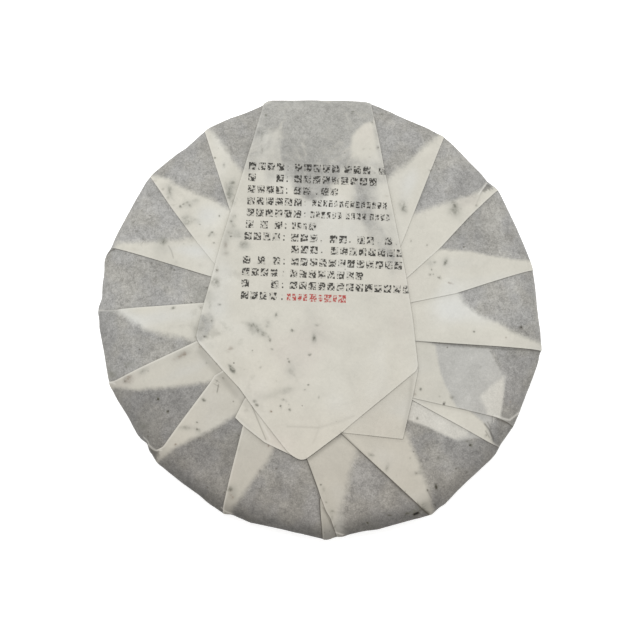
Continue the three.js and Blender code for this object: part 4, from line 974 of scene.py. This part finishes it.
flap_cream = np.clip((S_WIDE + 0.5 - s_at) / 1.6, -30, 30)  # single paper again below the widest line
point_values("cream", np.where(panel == FLAP_ID, flap_cream, cream), -30)
point_values("pale", pale - 20 * below, -30)
point_values("pale_top", pale_top, 0)
# grey and white carry the panels' tones times the painted rim shade
point_values("grey", (grey_of[panel] * (1 - below) + 0.98 * below) * (1 - rim), 0.98)
point_values("white", cream_of[panel] * (1 - 0.85 * rim), 1)
point_values("warm", smooth(-plan[:, 1] / 100 + 0.15 * noise3(flat_xyz, 30.0, 80), 0.05, 0.95), 0.5)
point_values("cloud", cloud * (panel == FLAP_ID), 0)
point_values("tone", tone, 0)
point_values("stain", stain * (s_at < S_WIDE), 0)
point_values("brown", brown / np.maximum(stain, 1e-3), 0)
point_values("smudge", smudge, 0)
point_values("smear", smear, 0)
point_values("dark", dark, 0)
point_values("light", light, 0)
# painted crease shade and painted edge highlight
point_values("gap", np.minimum(gap, 9) * fade + 9 * (1 - fade), 9)
point_values("crease_shade_k", crease_shade_k * fade, 0)
point_values("lip", np.minimum(lip, 9) * fade + 9 * (1 - fade), 9)
point_values("lip_highlight_k", lip_highlight_k * fade, 0)

ink = np.zeros(len(F))
for kind, ring in ink_rings:
    lo, hi = ring.min(0), ring.max(0)
    idx = np.nonzero(((centres > lo) & (centres < hi)).all(1))[0]
    ink[idx[inside(centres[idx], ring)]] = kind
ink[:len(tri)][~(panel[tri] == FLAP_ID).all(1)] = 0
for name, kind in (("ink", 1), ("ink_red", 2)):
    att = mesh.attributes.new(name, "FLOAT", "FACE")
    att.data.foreach_set("value", (ink == kind).astype(np.float32))

# ------------------------------------------------------------ bake layout
uv = mesh.uv_layers.new(name="OFBake")
inner_r = R_at - SHOULDER_W
lay = np.where(s_at < S_WIDE, (inner_r + s_at) / (inner_r + S_WIDE) * 0.425, 0.425 + 0.066 * (s_at - S_WIDE) / (S_FOOT - S_WIDE))
uv_sheet = np.stack([0.5 + lay * np.cos(ang), 0.5 + lay * np.sin(ang)], 1)
uv_foot = 0.072 + 0.068 * V[:, :2] / 66.0
loops = F.reshape(-1)
is_foot = np.repeat(np.arange(len(F)) >= len(tri), 3)
coords = np.where(is_foot[:, None], uv_foot[loops], np.concatenate([uv_sheet, np.zeros((extra, 2))])[loops])
uv.data.foreach_set("uv", coords.astype(np.float32).reshape(-1))

mesh.polygons.foreach_set("use_smooth", np.ones(len(F), bool))
mesh.set_sharp_from_angle(angle=math.radians(38))
mesh.update()
cake = bpy.data.objects.new("wrapped_cake", mesh)
bpy.context.scene.collection.objects.link(cake)


# =================================================================== material
LIGHT = 0.775         # how much the pictured colours are lowered for the scene's light


def shade(r, g, b):
    """Base colour that shows as this 8-bit screen colour in the scene's light."""
    out = []
    for c in (r, g, b):
        c /= 255
        out.append(LIGHT * (c / 12.92 if c <= 0.04045 else ((c + 0.055) / 1.055) ** 2.4))
    return (*out, 1.0)


class Tree:
    """Small helpers for a node tree."""

    def __init__(self, tree):
        self.t = tree
        self.links = tree.links

    def feed(self, socket, v):
        if isinstance(v, bpy.types.NodeSocket):
            self.links.new(v, socket)
        else:
            socket.default_value = v

    def attr(self, name):
        n = self.t.nodes.new("ShaderNodeAttribute")
        n.attribute_name = name
        return n.outputs["Fac"]

    def math(self, op, a, b=None, c=None):
        n = self.t.nodes.new("ShaderNodeMath")
        n.operation = op
        for i, v in enumerate((a, b, c)):
            if v is not None:
                self.feed(n.inputs[i], v)
        return n.outputs[0]

    def step(self, value, low, high, to0=0.0, to1=1.0):
        n = self.t.nodes.new("ShaderNodeMapRange")
        n.interpolation_type = "SMOOTHSTEP"
        self.feed(n.inputs["Value"], value)
        for k, v in (("From Min", low), ("From Max", high), ("To Min", to0), ("To Max", to1)):
            self.feed(n.inputs[k], v)
        return n.outputs["Result"]

    def noise(self, vector, scale, detail=2.0, rough=0.5, distortion=0.0):
        n = self.t.nodes.new("ShaderNodeTexNoise")
        n.inputs["Scale"].default_value = scale
        n.inputs["Detail"].default_value = detail
        n.inputs["Roughness"].default_value = rough
        n.inputs["Distortion"].default_value = distortion
        self.links.new(vector, n.inputs["Vector"])
        return n.outputs["Fac"]

    def mix(self, fac, a, b):
        n = self.t.nodes.new("ShaderNodeMix")
        n.data_type = "RGBA"
        self.feed(n.inputs["Factor"], fac)
        self.feed([i for i in n.inputs if i.name == "A" and i.type == "RGBA"][0], a)
        self.feed([i for i in n.inputs if i.name == "B" and i.type == "RGBA"][0], b)
        return [o for o in n.outputs if o.type == "RGBA"][0]

    def scale(self, colour, k):
        n = self.t.nodes.new("ShaderNodeVectorMath")
        n.operation = "SCALE"
        if isinstance(colour, bpy.types.NodeSocket):
            self.links.new(colour, n.inputs[0])
        else:
            n.inputs[0].default_value = colour[:3]
        self.feed(n.inputs["Scale"], k)
        return n.outputs[0]

    def voronoi(self, vector, scale):
        n = self.t.nodes.new("ShaderNodeTexVoronoi")
        n.inputs["Scale"].default_value = scale
        self.links.new(vector, n.inputs["Vector"])
        return n.outputs["Distance"], n.outputs["Color"]


paper = bpy.data.materials.new("wrapper_paper")
paper.use_nodes = True
paper.node_tree.nodes.clear()
T = Tree(paper.node_tree)
co = paper.node_tree.nodes.new("ShaderNodeTexCoord").outputs["Object"]
out = paper.node_tree.nodes.new("ShaderNodeOutputMaterial")
bsdf = paper.node_tree.nodes.new("ShaderNodeBsdfPrincipled")
T.links.new(bsdf.outputs["BSDF"], out.inputs["Surface"])
bsdf.inputs["Roughness"].default_value = 0.78
bsdf.inputs["Specular IOR Level"].default_value = 0.25

n_edge = T.noise(co, 240.0, 2.0, 0.5)
n_fine = T.noise(co, 720.0, 2.0, 0.6, 0.8)
n_grit = T.noise(co, 1500.0, 1.0, 0.5)
n_leaf = T.noise(co, 210.0, 3.0, 0.6, 0.8)
n_curl = T.noise(co, 430.0, 2.0, 0.55, 1.6)
curl = T.math("ABSOLUTE", T.math("SUBTRACT", n_curl, 0.5))              # 0 along curly lines
wobble = T.math("ADD", T.math("MULTIPLY_ADD", n_edge, 1.1, -0.55), T.math("MULTIPLY_ADD", n_fine, 0.7, -0.35))

is_cream = T.step(T.math("ADD", T.attr("cream"), wobble), -1.15, 1.15)
is_pale = T.step(T.math("MULTIPLY_ADD", wobble, 0.6, T.attr("pale")), -0.8, 0.8)

# grey single sheet: mottled by the leaves behind it, with pale curly fibres
mottle = T.math("MULTIPLY_ADD", T.math("SUBTRACT", n_fine, 0.5), 0.72, 0.985)
mottle = T.math("ADD", mottle, T.math("MULTIPLY", T.math("SUBTRACT", n_leaf, 0.5), 0.62))
mottle = T.math("ADD", mottle, T.math("MULTIPLY", T.math("SUBTRACT", n_grit, 0.5), 0.55))
mottle = T.math("ADD", mottle, T.step(curl, 0.05, 0.0, -0.04, 0.17))
mottle = T.math("ADD", mottle, T.math("MULTIPLY", T.math("SUBTRACT", T.noise(co, 120.0, 2.0, 0.5, 0.4), 0.5), 0.42))
broad = T.step(T.noise(co, 42.0, 2.0, 0.5), 0.3, 0.7, 0.915, 1.085)
mottle = T.math("MULTIPLY", mottle, broad)
grey_level = T.math("MULTIPLY", mottle, T.math("POWER", T.attr("grey"), 2.3))
grey_tint = T.mix(T.step(T.noise(co, 75.0, 2.0, 0.5), 0.38, 0.62), shade(169, 167, 161), shade(168, 167, 164))
grey = T.scale(grey_tint, grey_level)

n_soft = T.noise(co, 62.0, 3.0, 0.6, 0.6)
paper_grain = T.math("MULTIPLY_ADD", T.math("SUBTRACT", n_fine, 0.5), 0.16, T.math("MULTIPLY_ADD", n_soft, 0.24, 0.88))
pale_col = T.mix(T.step(T.noise(co, 60.0, 2.0), 0.35, 0.65), shade(184, 183, 178), shade(190, 189, 184))
pale_col = T.mix(T.attr("pale_top"), pale_col, shade(209, 207, 199))
pale_col = T.scale(pale_col, T.math("MULTIPLY_ADD", T.math("SUBTRACT", mottle, 1.0), 0.35, 1.0))

tone_at = T.math("ADD", T.attr("tone"), T.math("MULTIPLY_ADD", T.noise(co, 30.0, 2.0, 0.5), 2.4, -1.2))
cream_col = T.mix(T.step(tone_at, 0.0, 1.0), shade(212, 209, 198), shade(215, 215, 210))
cream_col = T.mix(T.step(tone_at, 0.0, -1.0), cream_col, shade(212, 207, 197))
cream_col = T.scale(cream_col, T.math("MULTIPLY", paper_grain, T.math("POWER", T.attr("white"), 2.3)))

body = T.mix(is_pale, grey, pale_col)
body = T.mix(is_cream, body, cream_col)

# the flap's cloud
cloud_n = T.math("ADD", T.math("MULTIPLY_ADD", T.noise(co, 100.0, 4.0, 0.65, 0.6), 2.6, -1.30), T.math("MULTIPLY_ADD", n_fine, 0.6, -0.30))
cloud_in = T.math("MULTIPLY", T.attr("cloud"), T.math("ADD", cloud_n, 1.0))
cloud_col = T.scale(shade(169, 168, 163), T.math("MULTIPLY_ADD", T.math("SUBTRACT", mottle, 1.0), 0.8, 1.0))
body = T.mix(T.step(cloud_in, 0.0, 1.0, 0.0, 1.0), body, cloud_col)

# soft smudges, then stains
smear_n = T.math("MULTIPLY_ADD", T.noise(co, 260.0, 3.0, 0.6, 0.5), 1.9, 0.05)
body = T.mix(T.math("MULTIPLY", T.attr("smear"), smear_n), body, shade(148, 149, 142))
stain_n = T.math("ADD", T.math("MULTIPLY_ADD", T.noise(co, 430.0, 3.0, 0.6, 0.8), 3.4, -1.70), T.math("MULTIPLY_ADD", n_fine, 1.6, -0.80))
stain_at = T.math("MULTIPLY", T.attr("stain"), T.math("ADD", stain_n, 1.0))
stain_col = T.mix(T.attr("brown"), shade(114, 114, 104), shade(134, 120, 107))
body = T.mix(T.step(stain_at, 0.0, 1.05, 0.0, 0.90), body, stain_col)
smudge_n = T.math("MULTIPLY_ADD", T.noise(co, 150.0, 3.0, 0.55), 1.0, T.math("MULTIPLY", T.noise(co, 48.0, 1.0), 0.6))
smudge_fac = T.math("MULTIPLY", T.step(smudge_n, 0.90, 1.08), T.math("MULTIPLY", T.attr("smudge"), 0.30))
body = T.mix(smudge_fac, body, shade(140, 138, 128))
dot, dot_pick = T.voronoi(co, 260.0)
sep = T.t.nodes.new("ShaderNodeSeparateColor")
T.links.new(dot_pick, sep.inputs[0])
dot_fac = T.math("MULTIPLY", T.step(dot, 0.16, 0.06), T.step(T.math("MULTIPLY_ADD", T.attr("warm"), 0.05, T.math("MULTIPLY_ADD", is_cream, -0.08, sep.outputs[0])), 0.87, 0.93, 0.0, 0.70))
body = T.mix(dot_fac, body, shade(96, 92, 82))

# print
ink_break = T.step(T.math("MULTIPLY_ADD", T.noise(co, 1250.0, 1.0, 0.5), 0.75, T.math("MULTIPLY", T.noise(co, 620.0, 1.0), 0.25)), 0.47, 0.54, 0.12, 0.95)
body = T.mix(T.math("MULTIPLY", T.attr("ink"), ink_break), body, shade(48, 46, 42))
body = T.mix(T.math("MULTIPLY", T.attr("ink_red"), ink_break), body, shade(178, 68, 64))

# dark marks, partly real specks and partly painted shade along folds and painted shadow under the flaps' edges; light
# strokes, which are painted highlights on fold edges; a painted shade line just outside each fold's edge, and a painted
# highlight just inside it
mark = T.mix(T.step(T.attr("dark"), 0.85, 1.5), shade(80, 77, 68), shade(26, 22, 18))
body = T.mix(T.math("MINIMUM", T.math("MULTIPLY", T.attr("dark"), T.math("MULTIPLY_ADD", n_fine, 0.5, 0.75)), 1.0), body, mark)
body = T.mix(T.attr("light"), body, shade(228, 226, 219))
# painted shade line just outside a fold's edge
near_crease_shade = T.math("MULTIPLY", T.step(T.attr("gap"), 0.95, 0.10), T.math("MULTIPLY", T.attr("crease_shade_k"), 0.92))
wide_crease_shade = T.math("MULTIPLY", T.step(T.attr("gap"), 2.6, 0.1), T.math("MULTIPLY", T.attr("crease_shade_k"), 0.22))
body = T.mix(T.math("MAXIMUM", near_crease_shade, wide_crease_shade), body, shade(84, 80, 72))
# painted highlight just inside a fold's edge
lip_highlight_fac = T.math("MULTIPLY", T.step(T.attr("lip"), 0.85, 0.1), T.math("MULTIPLY", T.attr("lip_highlight_k"), 0.62))
body = T.mix(lip_highlight_fac, body, shade(228, 226, 218))
tint = T.t.nodes.new("ShaderNodeVectorMath")
tint.operation = "MULTIPLY"
T.links.new(body, tint.inputs[0])
tint.inputs[1].default_value = (1.0, 0.965, 0.935)
body = T.mix(T.attr("warm"), body, tint.outputs[0])
T.links.new(body, bsdf.inputs["Base Color"])

# relief: fibres, pressed leaves, fine crumple
bump_h = T.math("ADD", T.math("MULTIPLY", n_fine, 0.5), T.math("MULTIPLY", T.noise(co, 130.0, 3.0, 0.5), 1.3))
bump = T.t.nodes.new("ShaderNodeBump")
bump.inputs["Strength"].default_value = 0.35
bump.inputs["Distance"].default_value = 0.00035
T.links.new(bump_h, bump.inputs["Height"])
T.links.new(bump.outputs["Normal"], bsdf.inputs["Normal"])
mesh.materials.append(paper)

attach(cake, "root")
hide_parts(NODE)

# ============================================================== studio, camera
floor_mesh = bpy.data.meshes.new("floor")
floor_mesh.from_pydata([(-6, -6, -0.0002), (6, -6, -0.0002), (6, 6, -0.0002), (-6, 6, -0.0002)], [], [(0, 1, 2, 3)])
floor = bpy.data.objects.new("floor", floor_mesh)
bpy.context.scene.collection.objects.link(floor)
white = bpy.data.materials.new("floor_white")
white.use_nodes = True
fb = white.node_tree.nodes["Principled BSDF"]
fb.inputs["Base Color"].default_value = (0.97, 0.97, 0.97, 1)
fb.inputs["Roughness"].default_value = 0.9
fb.inputs["Emission Color"].default_value = (1, 1, 1, 1)
fb.inputs["Emission Strength"].default_value = 0.46
floor_mesh.materials.append(white)

world = bpy.data.worlds.new("studio")
world.use_nodes = True
world.node_tree.nodes["Background"].inputs[0].default_value = (1, 1, 1, 1)
world.node_tree.nodes["Background"].inputs[1].default_value = 0.80
bpy.context.scene.world = world


def area_light(name, where, size, power, color=(1, 1, 1)):
    data = bpy.data.lights.new(name, "AREA")
    data.shape = "DISK"
    data.size = size
    data.energy = power
    data.color = color
    o = bpy.data.objects.new(name, data)
    o.location = where
    o.rotation_euler = (-Vector(where)).to_track_quat("-Z", "Y").to_euler()
    bpy.context.scene.collection.objects.link(o)


area_light("key", (-0.10, 0.70, 1.60), 1.3, 17.0, (1.0, 0.998, 0.99))

EL, DIST = math.radians(83.0), 0.950
target = Vector((0.0002, -0.0019, 0.014))
look = Vector((0, math.cos(EL), -math.sin(EL)))
cam_data = bpy.data.cameras.new("camera")
cam_data.sensor_fit = "HORIZONTAL"
cam_data.angle = 2 * math.atan(320 / (950 / 0.4537))
cam_data.clip_start, cam_data.clip_end = 0.02, 20
cam = bpy.data.objects.new("camera", cam_data)
right = Vector((1, 0, 0))
cam.matrix_world = Matrix.Translation(target - look * DIST) @ Matrix((right, right.cross(look), -look)).transposed().to_4x4()
bpy.context.scene.collection.objects.link(cam)
bpy.context.scene.camera = cam
bpy.context.scene.view_settings.view_transform = "Standard"
bpy.context.scene.view_settings.look = "None"
